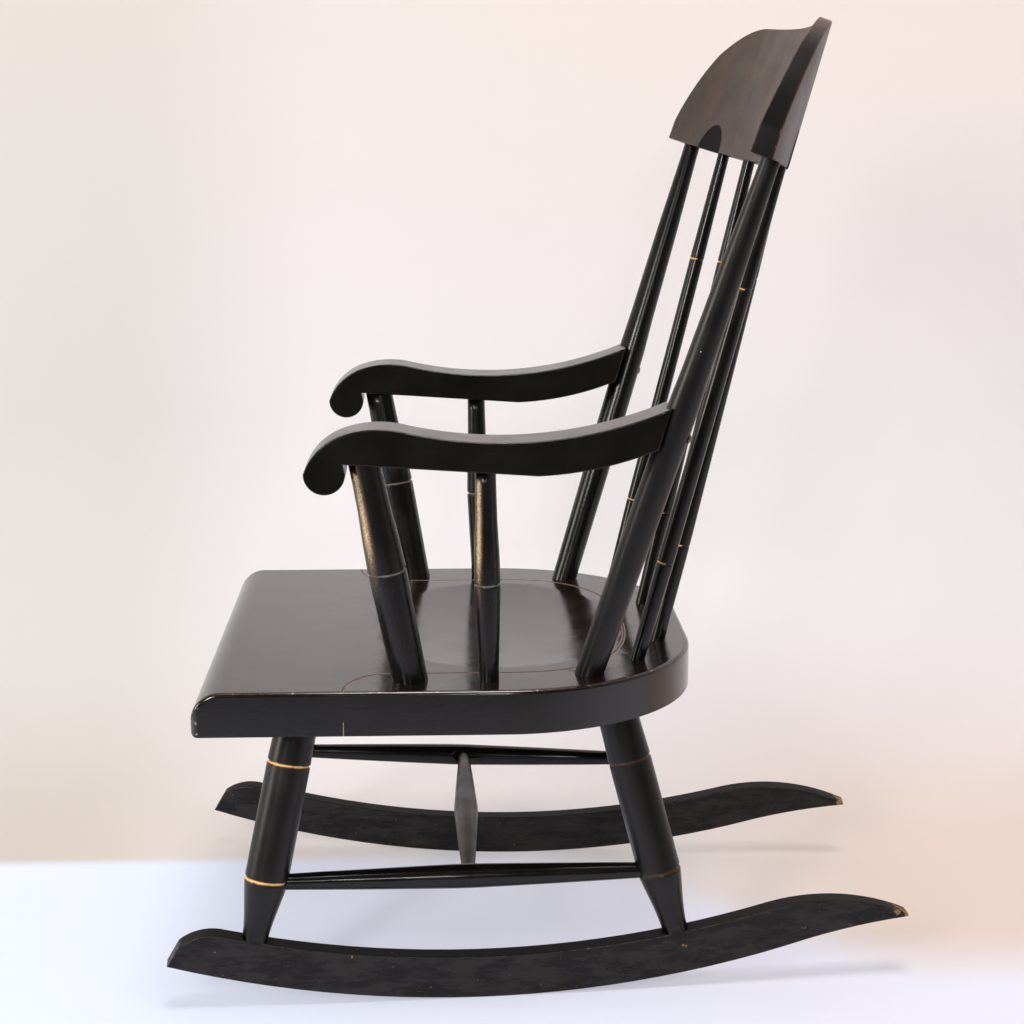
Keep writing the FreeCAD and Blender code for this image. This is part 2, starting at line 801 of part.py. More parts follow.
for side in (1, -1):
    foot = on_seat(size.front_support_seat_x, size.front_support_seat_y, side)
    head = under_arm(size.front_support_arm_x, size.front_support_arm_y, side)
    width = size.support_ring_width
    depth = size.support_ring_depth
    length = as_size((head - foot).Length)
    profile = [
        (-size.trim_allowance, size.front_support_foot_diameter, 0, 0),
        (size.turning_end_land, size.front_support_foot_diameter, 0, 0),
        *ring(size.front_support_ring_station, width, size.front_support_ring_diameter, depth),
        (size.front_support_waist_station, size.front_support_waist_diameter, 1, 0),
        (size.front_support_neck_station, size.front_support_neck_diameter, 2, 0),
        (length - size.turning_end_land, size.front_support_top_diameter, 1, 0),
        (length + size.trim_allowance, size.front_support_top_diameter, 0, 0),
    ]
    arm_support(f"arm_support_front_{side_of(side)}", side, foot, head, profile,
                size.front_support_tenon_diameter)
    foot = on_seat(size.middle_support_seat_x, size.middle_support_seat_y, side)
    head = under_arm(size.middle_support_arm_x, size.middle_support_arm_y, side)
    length = as_size((head - foot).Length)
    profile = [
        (-size.trim_allowance, size.middle_support_foot_diameter, 0, 0),
        (size.turning_end_land, size.middle_support_foot_diameter, 0, 0),
        *ring(size.middle_support_ring_station, width, size.middle_support_ring_diameter, depth, 3),
        (size.middle_support_waist_station, size.middle_support_waist_diameter, 1, 0),
        (size.middle_support_neck_station, size.middle_support_neck_diameter, 2, 0),
        (length - size.turning_end_land, size.middle_support_top_diameter, 1, 0),
        (length + size.trim_allowance, size.middle_support_top_diameter, 0, 0),
    ]
    arm_support(f"arm_support_middle_{side_of(side)}", side, foot, head, profile,
                size.middle_support_tenon_diameter)

# Arms and posts: a screw goes through each post from behind, square to it, into the arm's end
screws = []
for side in (1, -1):
    word = side_of(side)
    foot, head = post_ends(side)
    up_post = (head - foot).normalize()
    crossing = point_on(foot, head, size.screw_station)
    forward = Vector(0, -1, 0)
    forward = (forward - up_post * forward.dot(up_post)).normalize()
    post_radius = float(size.post_belly_diameter) / 2
    head_radius = float(size.screw_head_diameter) / 2
    seat_depth = math.sqrt((post_radius - 0.3) ** 2 - head_radius ** 2)
    under_head = crossing - forward * seat_depth
    tip = under_head + forward * float(size.screw_length)
    behind = under_head - forward * float(size.screw_head_height)
    far_behind = under_head - forward * float(size.screw_head_height) * 3
    shank = rod(f"screw_shank_{word}", under_head, tip, size.screw_shank_diameter)
    cap = rod(f"screw_cap_{word}", under_head, behind, size.screw_head_diameter)
    screws.append(fused(f"screw_{word}", [shank, cap]))
    clearance = size.fit_clearance * 2
    end = tip + forward * float(size.mortise_end_room)
    pilot = rod(f"screw_hole_{word}", under_head, end, size.screw_shank_diameter + clearance)
    recess = rod(f"screw_seat_{word}", under_head, far_behind, size.screw_head_diameter + clearance)
    keep(f"back_post_{word}", cut_from(f"back_post_{word}_drilled", post[side], [pilot, recess]))
    coping = turned(f"coping_{word}", foot, head, [
        (0, size.post_belly_diameter + clearance, 0, 0),
        ((head - foot).Length, size.post_belly_diameter + clearance, 0, 0),
    ])
    arm_holes = mortises[f"arm_{word}"] + [pilot, coping]
    keep(f"arm_{word}", cut_from(f"arm_{word}", arm_blank[side], arm_holes))
arm_screws = doc.addObject("Part::Compound", "arm_screws")
arm_screws.Links = screws
keep("arm_screws", arm_screws)

# Legs
def leg_profile(length, stub):
    """The turning of a leg, its stations counted up from the runner."""
    low_ring = size.leg_drum_station + size.leg_ring_width / 2 + stub
    high_ring = low_ring + size.leg_drum_length - size.leg_ring_width
    width = size.leg_ring_width
    depth = size.leg_ring_depth
    return [
        (-size.trim_allowance * 2, size.leg_foot_diameter, 0, 0),
        (as_size(stub), size.leg_foot_diameter, 0, 0),
        (size.leg_flare_station + stub, size.leg_flare_diameter, 4, -size.leg_flare_hollow),
        (size.leg_socket_station + stub, size.leg_socket_diameter, 2, 0),
        *ring(low_ring, width, size.leg_drum_diameter, depth, 0),
        *ring(high_ring, width, size.leg_drum_diameter, depth, 0),
        (length - size.turning_end_land, size.leg_seat_diameter, 1, 0),
        (length + size.trim_allowance, size.leg_seat_diameter, 0, 0),
    ]


def leg_ends(end, side):
    """Where a leg's axis meets the runner and the seat."""
    if end == "front":
        foot_y, seat_x, seat_y = size.front_foot_y, size.front_leg_seat_x, size.front_leg_seat_y
    else:
        foot_y, seat_x, seat_y = size.rear_foot_y, size.rear_leg_seat_x, size.rear_leg_seat_y
    return runner_point(foot_y, side), under_seat(seat_x, seat_y, side)


leg = {}
for side in (1, -1):
    for end, stub in (("front", size.front_foot_stub), ("rear", size.rear_foot_stub)):
        name = f"leg_{end}_{side_of(side)}"
        foot, head = leg_ends(end, side)
        length = as_size((head - foot).Length)
        blank = turned(f"{name}_blank", foot, head, leg_profile(length, stub))
        shaped = cut_from(f"{name}_shaped", blank, [seat_blank, foot_trim[side]])
        inside_foot = point_on(foot, head, size.trim_allowance)
        inside_head = point_on(head, foot, size.trim_allowance)
        into_runner = point_on(foot, head, -size.foot_tenon_length)
        into_seat = point_on(head, foot, -size.leg_tenon_length)
        runner = f"runner_{side_of(side)}"
        foot_peg = tenon(runner, f"{name}_foot", inside_foot, into_runner, size.foot_tenon_diameter)
        head_peg = tenon("seat", f"{name}_head", inside_head, into_seat, size.leg_tenon_diameter)
        leg[end, side] = fused(f"{name}_solid", [shaped, foot_peg, head_peg])


def stretcher(name, start, end, diameter, middle_diameter, owners, half, steps):
    """A cigar turning, straight for a little at its middle, with plain ends in round holes.

    Half is the half thickness of the pieces that own the holes, and steps is how many tapers make
    each swelling side.
    """
    overlap = float(size.stretcher_end_past_axis)
    length = (end - start).Length
    land_start = as_size(length) / 2 - size.stretcher_land / 2
    profile = [
        (as_size(-overlap), diameter, 0, 0),
        (half, diameter, 0, 0),
        (land_start, middle_diameter, steps, size.stretcher_swell),
        (land_start + size.stretcher_land, middle_diameter, 0, 0),
        (as_size(length) - half, diameter, steps, size.stretcher_swell),
        (as_size(length + overlap), diameter, 0, 0),
    ]
    reach_past = overlap + float(size.mortise_end_room)
    for owner, near, far in ((owners[0], start, end), (owners[1], end, start)):
        mouth = point_on(near, far, half * 2)
        hole = rod(f"{name}_hole_in_{owner}", mouth, point_on(near, far, -reach_past),
                   diameter + size.fit_clearance * 2)
        mortises.setdefault(owner, []).append(hole)
    return turned(name, start, end, profile)


side_line = {}
side_stretcher = {}
for side in (1, -1):
    word = side_of(side)
    front_foot, front_head = leg_ends("front", side)
    rear_foot, rear_head = leg_ends("rear", side)
    start = point_on(front_foot, front_head, size.front_stretcher_station + size.front_foot_stub)
    end = point_on(rear_foot, rear_head, size.rear_stretcher_station + size.rear_foot_stub)
    side_line[side] = (start, end)
    side_stretcher[side] = stretcher(
        f"side_stretcher_{word}_turning", start, end, size.side_stretcher_end_diameter,
        size.side_stretcher_middle_diameter, (f"leg_front_{word}", f"leg_rear_{word}"),
        size.leg_drum_diameter / 2, 5)


def on_side_stretcher(side):
    """The point of a side stretcher's axis where the cross stretcher meets it."""
    start, end = side_line[side]
    share = (float(size.cross_stretcher_y) - start.y) / (end.y - start.y)
    return start + (end - start) * share


keep("cross_stretcher", stretcher(
    "cross_stretcher", on_side_stretcher(-1), on_side_stretcher(1), size.cross_stretcher_end_diameter,
    size.cross_stretcher_middle_diameter, ("side_stretcher_right", "side_stretcher_left"),
    size.side_stretcher_middle_diameter / 2, 8))

# Mortised pieces
for side in (1, -1):
    word = side_of(side)
    name = f"side_stretcher_{word}"
    keep(name, cut_from(name, side_stretcher[side], mortises[name]))
    for end in ("front", "rear"):
        name = f"leg_{end}_{word}"
        keep(name, cut_from(name, leg[end, side], mortises[name]))
    name = f"runner_{word}"
    keep(name, cut_from(name, runner_blank[side], mortises[name]))
keep("seat", cut_from("seat", seat_blank, mortises["seat"]))
keep("crest_rail", cut_from("crest_rail", crest_blank, mortises["crest_rail"]))

doc.recompute()

# Check every object before anything is written
for item in doc.Objects:
    if "Invalid" in item.State or "Error" in item.State:
        raise RuntimeError(f"{item.Name} did not build: {item.State}")
for node, piece in kept.items():
    if piece.Shape.isNull() or not piece.Shape.isValid():
        raise RuntimeError(f"{node} is not a sound solid")
    wanted = 2 if node == "arm_screws" else 1
    if len(piece.Shape.Solids) != wanted:
        raise RuntimeError(f"{node} has {len(piece.Shape.Solids)} solids")

os.makedirs("parts", exist_ok=True)
for node, piece in kept.items():
    piece.Shape.exportStep(f"parts/{node}.step")
print(f"{len(kept)} nodes written")
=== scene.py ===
import math

import bmesh
import bpy
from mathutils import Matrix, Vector


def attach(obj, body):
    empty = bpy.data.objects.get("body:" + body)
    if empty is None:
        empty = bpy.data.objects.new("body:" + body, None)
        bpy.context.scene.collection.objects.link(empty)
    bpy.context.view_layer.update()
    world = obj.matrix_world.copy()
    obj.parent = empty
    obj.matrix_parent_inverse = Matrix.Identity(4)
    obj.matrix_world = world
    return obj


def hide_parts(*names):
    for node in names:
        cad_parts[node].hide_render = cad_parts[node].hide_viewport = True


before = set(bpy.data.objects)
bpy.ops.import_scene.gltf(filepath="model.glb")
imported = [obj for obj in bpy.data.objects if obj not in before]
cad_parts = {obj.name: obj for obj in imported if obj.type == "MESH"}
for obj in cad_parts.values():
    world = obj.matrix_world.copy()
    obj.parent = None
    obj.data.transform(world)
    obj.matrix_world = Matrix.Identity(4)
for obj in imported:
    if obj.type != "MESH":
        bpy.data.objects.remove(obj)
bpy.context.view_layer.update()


# The studio: a white table and a warm white wall, made as one sheet of paper, seen from the
# sitter's left. Four soft lights stand for two windows, a pale ceiling and a lamp in the room.
def linear(hex_colour):
    """An sRGB hex colour as the linear values that a shader takes, opaque."""
    parts = [int(hex_colour[i:i + 2], 16) / 255 for i in (1, 3, 5)]
    return (*[p / 12.92 if p <= 0.04045 else ((p + 0.055) / 1.055) ** 2.4 for p in parts], 1.0)


def add_node(tree, kind, settings=None, inputs=None):
    """Add a node with its settings. An input is a constant, a socket or a node to link from."""
    made = tree.nodes.new(kind)
    for name, value in (settings or {}).items():
        setattr(made, name, value)
    for socket, value in (inputs or {}).items():
        if isinstance(value, bpy.types.Node):
            value = next(found for found in value.outputs if found.enabled)
        if isinstance(value, bpy.types.NodeSocket):
            tree.links.new(value, made.inputs[socket])
        else:
            made.inputs[socket].default_value = value
    return made


def new_tree(name):
    """An empty material and its node tree."""
    material = bpy.data.materials.new(name)
    material.use_nodes = True
    material.node_tree.nodes.clear()
    return material, material.node_tree


photo_width = 1024
focal_pixels = 2000
camera_place = (1.487, -0.07175, 0.632)
camera_yaw = math.radians(2.08)
camera_pitch = math.radians(11.65)
camera = bpy.data.objects.new("camera", bpy.data.cameras.new("camera"))
bpy.context.scene.collection.objects.link(camera)
ahead = Vector((-math.cos(camera_yaw) * math.cos(camera_pitch),
                math.sin(camera_yaw) * math.cos(camera_pitch), -math.sin(camera_pitch)))
camera.location = camera_place
camera.rotation_mode = "QUATERNION"
camera.rotation_quaternion = ahead.to_track_quat("-Z", "Y")
camera.data.sensor_width = 36
camera.data.lens = camera.data.sensor_width * focal_pixels / photo_width
camera.data.clip_end = 50
bpy.context.scene.camera = camera
bpy.context.scene.view_settings.view_transform = "Standard"

# The sheet runs flat under the chair, turns up in a wide curve and rises as the wall.
wall_x = -0.62
sheet_curve = 0.3
sheet_half_length = 6.0
sheet_height = 5.0
sheet_front_x = 5.0
sheet_steps = 16
sheet = bmesh.new()
profile = [sheet.verts.new((sheet_front_x, -sheet_half_length, 0))]
for step in range(sheet_steps + 1):
    turn = math.radians(90) * step / sheet_steps
    profile.append(sheet.verts.new((wall_x + sheet_curve * (1 - math.sin(turn)), -sheet_half_length,
                                    sheet_curve * (1 - math.cos(turn)))))
profile.append(sheet.verts.new((wall_x, -sheet_half_length, sheet_height)))
for first, second in zip(profile, profile[1:]):
    sheet.edges.new((first, second))
swept = bmesh.ops.extrude_edge_only(sheet, edges=sheet.edges[:])
moved = [item for item in swept["geom"] if isinstance(item, bmesh.types.BMVert)]
bmesh.ops.translate(sheet, verts=moved, vec=(0, sheet_half_length * 2, 0))
for face in sheet.faces:
    face.smooth = True
sheet_mesh = bpy.data.meshes.new("backdrop")
sheet.to_mesh(sheet_mesh)
sheet.free()
backdrop = bpy.data.objects.new("backdrop", sheet_mesh)
bpy.context.scene.collection.objects.link(backdrop)

# Matt white paper: bluish where the table lies, warm from its far edge up the wall. Half of its
# light is its own where the camera or a reflection sees it, so it stays white under soft light.
# The camera sees through its back, and reflections see the dim room past the table's near edge.
table_edge_x = -0.122
edge_advance = 0.22
own_share = 0.5
paper, tree = new_tree("matt_white_paper")
place = add_node(tree, "ShaderNodeTexCoord")
parts = add_node(tree, "ShaderNodeSeparateXYZ", inputs={0: place.outputs["Object"]})
# The tones change from left to right, along Y, and from the table up the wall, along Z less X
to_right = add_node(tree, "ShaderNodeMapRange", {"interpolation_type": "SMOOTHSTEP"}, {
    "Value": parts.outputs["Y"], "From Min": -0.45, "From Max": 0.35})
rise = add_node(tree, "ShaderNodeMath", {"operation": "SUBTRACT"}, {
    0: parts.outputs["Z"], 1: parts.outputs["X"]})
to_wall = add_node(tree, "ShaderNodeMapRange", {"interpolation_type": "SMOOTHSTEP"}, {
    "Value": rise, "From Min": 0.05, "From Max": 0.7})
to_top = add_node(tree, "ShaderNodeMapRange", {"interpolation_type": "SMOOTHSTEP"}, {
    "Value": rise, "From Min": 0.9, "From Max": 1.5, "To Max": 0.6})
from_left = add_node(tree, "ShaderNodeMapRange", {"interpolation_type": "SMOOTHSTEP"}, {
    "Value": parts.outputs["Y"], "From Min": -0.42, "From Max": -0.16})
# Painted shade: the low wall is darker and warmer at the left and at the right
shaded_low_wall = add_node(tree, "ShaderNodeMix", {"data_type": "RGBA"}, {
    0: from_left, 6: linear("#d0c6bb"), 7: linear("#e6dedc")})
far_right = add_node(tree, "ShaderNodeMapRange", {"interpolation_type": "SMOOTHSTEP"}, {
    "Value": parts.outputs["Y"], "From Min": 0.05, "From Max": 0.35})
shaded_low_wall = add_node(tree, "ShaderNodeMix", {"data_type": "RGBA"}, {
    0: far_right, 6: shaded_low_wall, 7: linear("#e4d1c4")})
high_wall = add_node(tree, "ShaderNodeMix", {"data_type": "RGBA"}, {
    0: from_left, 6: linear("#dad6d3"), 7: linear("#eee8e9")})
wall_tone = add_node(tree, "ShaderNodeMix", {"data_type": "RGBA"}, {
    0: to_wall, 6: shaded_low_wall, 7: high_wall})
top_wall = add_node(tree, "ShaderNodeMix", {"data_type": "RGBA"}, {
    0: to_right, 6: linear("#ddd3c8"), 7: linear("#efddcc")})
wall_tone = add_node(tree, "ShaderNodeMix", {"data_type": "RGBA"}, {
    0: to_top, 6: wall_tone, 7: top_wall})
table_tone = add_node(tree, "ShaderNodeMix", {"data_type": "RGBA"}, {
    0: to_right, 6: linear("#e4ebfd"), 7: linear("#eae8f4")})
# The warm part comes nearer on the right
edge_x = add_node(tree, "ShaderNodeMapRange", {"interpolation_type": "SMOOTHSTEP"}, {
    "Value": parts.outputs["Y"], "From Min": 0.0, "From Max": 0.3,
    "To Min": table_edge_x, "To Max": table_edge_x + edge_advance})
past_edge = add_node(tree, "ShaderNodeMath", {"operation": "SUBTRACT"}, {
    0: parts.outputs["X"], 1: edge_x})
# The table's edge is sharp on the left and blurs to the right
softness = add_node(tree, "ShaderNodeMapRange", inputs={
    "Value": parts.outputs["Y"], "From Min": -0.2, "From Max": 0.2, "To Min": 0.012, "To Max": 0.06})
on_table = add_node(tree, "ShaderNodeMath", {"operation": "DIVIDE"}, {0: past_edge, 1: softness})
on_table = add_node(tree, "ShaderNodeMapRange", {"interpolation_type": "SMOOTHSTEP"}, {
    "Value": on_table, "From Min": -1.0, "From Max": 1.0})
tone = add_node(tree, "ShaderNodeMix", {"data_type": "RGBA"}, {
    0: on_table, 6: wall_tone, 7: table_tone})
matt = add_node(tree, "ShaderNodeBsdfPrincipled", inputs={
    "Base Color": tone, "Roughness": 0.9, "Specular IOR Level": 0.1})
own_light = add_node(tree, "ShaderNodeEmission", inputs={"Color": tone, "Strength": 1.0})
ray = add_node(tree, "ShaderNodeLightPath")
seen = add_node(tree, "ShaderNodeMath", {"operation": "MAXIMUM"}, {
    0: ray.outputs["Is Camera Ray"], 1: ray.outputs["Is Glossy Ray"]})
share = add_node(tree, "ShaderNodeMath", {"operation": "MULTIPLY"}, {0: seen, 1: own_share})
lit = add_node(tree, "ShaderNodeMixShader", inputs={0: share, 1: matt, 2: own_light})
back_face = add_node(tree, "ShaderNodeNewGeometry").outputs["Backfacing"]
behind = add_node(tree, "ShaderNodeMath", {"operation": "MULTIPLY"}, {
    0: ray.outputs["Is Camera Ray"], 1: back_face})
past_table = add_node(tree, "ShaderNodeMapRange", {"interpolation_type": "SMOOTHSTEP"}, {
    "Value": parts.outputs["X"], "From Min": 0.35, "From Max": 1.3})
past_table = add_node(tree, "ShaderNodeMath", {"operation": "MULTIPLY"}, {
    0: ray.outputs["Is Glossy Ray"], 1: past_table})
# Further off than the photo shows, the sheet fades into the white room
distance = add_node(tree, "ShaderNodeVectorMath", {"operation": "LENGTH"}, {0: place.outputs["Object"]})
far_off = add_node(tree, "ShaderNodeMapRange", {"interpolation_type": "SMOOTHSTEP"}, {
    "Value": distance.outputs["Value"], "From Min": 1.2, "From Max": 2.4})
far_off = add_node(tree, "ShaderNodeMath", {"operation": "MULTIPLY"}, {
    0: ray.outputs["Is Camera Ray"], 1: far_off})
open_air = add_node(tree, "ShaderNodeMath", {"operation": "MAXIMUM"}, {0: behind, 1: past_table})
open_air = add_node(tree, "ShaderNodeMath", {"operation": "MAXIMUM"}, {0: open_air, 1: far_off})
clear = add_node(tree, "ShaderNodeBsdfTransparent")
lit = add_node(tree, "ShaderNodeMixShader", inputs={0: open_air, 1: lit, 2: clear})
add_node(tree, "ShaderNodeOutputMaterial", inputs={"Surface": lit})
backdrop.data.materials.append(paper)

# The room: the camera sees it near white, and it lights the chair dimly, least from behind the camera
world = bpy.data.worlds.new("room")
bpy.context.scene.world = world
world.use_nodes = True
tree = world.node_tree
tree.nodes.clear()
ray = add_node(tree, "ShaderNodeLightPath")
place = add_node(tree, "ShaderNodeTexCoord")
parts = add_node(tree, "ShaderNodeSeparateXYZ", inputs={0: place.outputs["Generated"]})
room_level = add_node(tree, "ShaderNodeMapRange", {"interpolation_type": "SMOOTHSTEP"}, {
    "Value": parts.outputs["X"], "From Min": 0.1, "From Max": 0.8, "To Min": 0.5, "To Max": 0.12})
level = add_node(tree, "ShaderNodeMix", {"data_type": "FLOAT"}, {
    0: ray.outputs["Is Camera Ray"], 2: room_level, 3: 1.0})
room = add_node(tree, "ShaderNodeBackground", inputs={"Color": linear("#eeeae8"), "Strength": level})
add_node(tree, "ShaderNodeOutputWorld", inputs={"Surface": room})


def soft_light(name, place, aim, width, height, watts, colour):
    """A flat soft light at a place, turned towards a point."""
    lamp = bpy.data.lights.new(name, "AREA")
    lamp.shape = "RECTANGLE"
    lamp.size = width
    lamp.size_y = height
    lamp.energy = watts
    lamp.color = linear(colour)[:3]
    holder = bpy.data.objects.new(name, lamp)
    holder.location = place
    holder.rotation_mode = "QUATERNION"
    holder.rotation_quaternion = (Vector(aim) - Vector(place)).to_track_quat("-Z", "Y")
    bpy.context.scene.collection.objects.link(holder)


chair_middle = (0, 0, 0.3)
soft_light("window", (1.9, -1.1, 1.2), chair_middle, 0.35, 0.7, 24, "#fffcf8")
soft_light("front_window", (0.55, -2.3, 0.75), chair_middle, 0.7, 0.9, 20, "#fff8ee")
soft_light("ceiling_bounce", (0.55, 0.1, 2.6), chair_middle, 0.8, 0.8, 38, "#fbfaff")
soft_light("room_lamp", (2.9, 0.12, 1.25), chair_middle, 0.16, 0.16, 11, "#fbf8f6")


# The paint: black oil enamel, brushed over a brown undercoat on hardwood and rubbed with use. It is
# warm black with a satin gloss, faint brush drag, and brown where arrises are rubbed through.
mm = 0.001


def black_enamel(name, on_board=False, paint=("#090706", "#15100c"), undercoat="#3a2015",
                 bare="#8a6a4e", gloss=(0.16, 0.28), drag=(0.8, 60), drag_height=0.02, rub=0.5,
                 chips=0.35, chip_colour="#b9a999", ior=1.4, rings=None, extra=None):
    """Brushed enamel, along Y on a board and along its axis on a turning. gloss is the roughness
    where it shines most and least. drag is the brush streaks' width and length, and drag_height
    their height, in mm. rub, from 0 to 1, is how much of the arrises shows undercoat and bare wood,
    and chips how many specks lack paint. rings is the distance in mm of two painted rings from the
    turning's middle station, their reach in mm and colours, and whether only the front is painted.
    extra adds a piece's own marks to its colour and roughness."""
    mottle_size = 28
    grime_size = 5
    streak_shine = 0.025
    material, tree = new_tree(name)
    place = add_node(tree, "ShaderNodeTexCoord").outputs["Object"]
    fine, long = (1 / (size * mm) for size in drag)
    if on_board:
        run = place
        across = (fine, long, fine)
    else:
        run = add_node(tree, "ShaderNodeAttribute", {"attribute_name": "along"}).outputs["Vector"]
        across = (fine, fine, long)
    stretched = add_node(tree, "ShaderNodeMapping", inputs={"Vector": run, "Scale": across})
    streaks = add_node(tree, "ShaderNodeTexNoise", inputs={
        "Vector": stretched, "Scale": 1.0, "Detail": 3.0, "Roughness": 0.6})
    mottle = add_node(tree, "ShaderNodeTexNoise", inputs={
        "Vector": place, "Scale": 1 / (mottle_size * mm), "Detail": 4.0, "Roughness": 0.55})
    grime = add_node(tree, "ShaderNodeTexNoise", inputs={
        "Vector": place, "Scale": 1 / (grime_size * mm), "Detail": 5.0, "Roughness": 0.65})
    colour = add_node(tree, "ShaderNodeMix", {"data_type": "RGBA"}, {
        0: mottle, 6: linear(paint[0]), 7: linear(paint[1])})
    shine = add_node(tree, "ShaderNodeMapRange", inputs={
        "Value": mottle, "From Min": 0.3, "From Max": 0.7, "To Min": gloss[0], "To Max": gloss[1]})
    shine = add_node(tree, "ShaderNodeMapRange", inputs={
        "Value": streaks, "From Min": 0.3, "From Max": 0.7,
        "To Min": add_node(tree, "ShaderNodeMath", {"operation": "SUBTRACT"}, {
            0: shine, 1: streak_shine}),
        "To Max": add_node(tree, "ShaderNodeMath", {"operation": "ADD"}, {
            0: shine, 1: streak_shine})})
    # Arrises are rubbed through to the undercoat in broken runs, and to bare wood in a few spots.
    # The noise passes start hardly anywhere, and start - spread nearly everywhere.
    start = 0.68
    spread = 0.36
    soft = 0.08
    bare_share = 0.3
    arris = add_node(tree, "ShaderNodeAttribute", {"attribute_name": "arris"}).outputs["Fac"]
    for share, worn_colour in ((rub, undercoat), (rub * bare_share, bare)):
        worn = add_node(tree, "ShaderNodeMapRange", {"interpolation_type": "SMOOTHSTEP"}, {
            "Value": grime, "From Min": start - spread * share,
            "From Max": start + soft - spread * share})
        worn = add_node(tree, "ShaderNodeMath", {"operation": "MULTIPLY"}, {0: worn, 1: arris})
        colour = add_node(tree, "ShaderNodeMix", {"data_type": "RGBA"}, {
            0: worn, 6: colour, 7: linear(worn_colour)})
    if rings:
        half_gap, ring_colours, front_only = rings
        unevenness = 0.3
        ring_roughness = 0.4
        painted = 1.0
        if front_only:
            facing = add_node(tree, "ShaderNodeNewGeometry").outputs["Normal"]
            facing = add_node(tree, "ShaderNodeSeparateXYZ", inputs={0: facing}).outputs["Y"]
            painted = add_node(tree, "ShaderNodeMath", {"operation": "LESS_THAN"}, {
                0: facing, 1: -0.1})
        station = add_node(tree, "ShaderNodeSeparateXYZ", inputs={0: run}).outputs["Z"]
        station = add_node(tree, "ShaderNodeMath", {"operation": "ABSOLUTE"}, {0: station})
        station = add_node(tree, "ShaderNodeMath", {"operation": "SUBTRACT"}, {
            0: station, 1: half_gap * mm})
        station = add_node(tree, "ShaderNodeMath", {"operation": "ABSOLUTE"}, {0: station})
        for reach, ring_colour in ring_colours:
            uneven = add_node(tree, "ShaderNodeMapRange", inputs={
                "Value": grime, "From Min": 0.3, "From Max": 0.7,
                "To Min": (reach - unevenness) * mm, "To Max": (reach + unevenness) * mm})
            inside = add_node(tree, "ShaderNodeMath", {"operation": "LESS_THAN"}, {
                0: station, 1: uneven})
            inside = add_node(tree, "ShaderNodeMath", {"operation": "MULTIPLY"}, {
                0: inside, 1: painted})
            colour = add_node(tree, "ShaderNodeMix", {"data_type": "RGBA"}, {
                0: inside, 6: colour, 7: linear(ring_colour)})
        shine = add_node(tree, "ShaderNodeMix", {"data_type": "FLOAT"}, {
            0: inside, 2: shine, 3: ring_roughness})
    if extra:
        colour, shine = extra(tree, colour, shine, place, run, grime)
    # Chips: specks of missing paint, up to about 1.6 mm across, in a few of the 9 mm cells
    chip_spacing = 9
    most_chosen = 0.12
    cells = add_node(tree, "ShaderNodeTexVoronoi", {"feature": "F1"}, {
        "Vector": place, "Scale": 1 / (chip_spacing * mm), "Randomness": 1.0})
    chosen = add_node(tree, "ShaderNodeSeparateColor", inputs={0: cells.outputs["Color"]})
    chosen = add_node(tree, "ShaderNodeMath", {"operation": "LESS_THAN"}, {
        0: chosen.outputs[0], 1: chips * most_chosen})
    small = add_node(tree, "ShaderNodeMapRange", inputs={
        "Value": grime, "From Min": 0.35, "From Max": 0.65, "To Min": 0.02, "To Max": 0.09})
    near = add_node(tree, "ShaderNodeMath", {"operation": "LESS_THAN"}, {
        0: cells.outputs["Distance"], 1: small})
    chip = add_node(tree, "ShaderNodeMath", {"operation": "MULTIPLY"}, {0: near, 1: chosen})
    colour = add_node(tree, "ShaderNodeMix", {"data_type": "RGBA"}, {
        0: chip, 6: colour, 7: linear(chip_colour)})
    # Thick enamel levels out in slow waves, higher than the brush streaks on them
    wave_height = drag_height * 6
    bump = add_node(tree, "ShaderNodeBump", inputs={
        "Height": streaks, "Strength": 1.0, "Distance": drag_height * mm})
    bump = add_node(tree, "ShaderNodeBump", inputs={
        "Height": mottle, "Strength": 1.0, "Distance": wave_height * mm, "Normal": bump})
    skin = add_node(tree, "ShaderNodeBsdfPrincipled", inputs={
        "Base Color": colour, "Roughness": shine, "IOR": ior, "Normal": bump})
    add_node(tree, "ShaderNodeOutputMaterial", inputs={"Surface": skin})
    return material


def merged_copy(node):
    """The CAD node's shape as one closed mesh, with flat faces whole again."""
    shape = bmesh.new()
    shape.from_mesh(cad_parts[node].data)
    bmesh.ops.remove_doubles(shape, verts=shape.verts, dist=0.002 * mm)
    bmesh.ops.dissolve_limit(shape, angle_limit=math.radians(0.2), verts=shape.verts,
                             edges=shape.edges)
    return shape


def fit_piece(shape, name, node, material):
    """Shade the piece smoothly up to its arrises and put it in its CAD node's place."""
    sharp_angle = 38
    mesh = bpy.data.meshes.new(name)
    for face in shape.faces:
        face.smooth = True
    shape.to_mesh(mesh)
    shape.free()
    mesh.set_sharp_from_angle(angle=math.radians(sharp_angle))
    mesh.materials.append(material)
    piece = bpy.data.objects.new(name, mesh)
    bpy.context.scene.collection.objects.link(piece)
    even = piece.modifiers.new("even_shading", "WEIGHTED_NORMAL")
    even.keep_sharp = True
    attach(piece, "root")
    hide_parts(node)


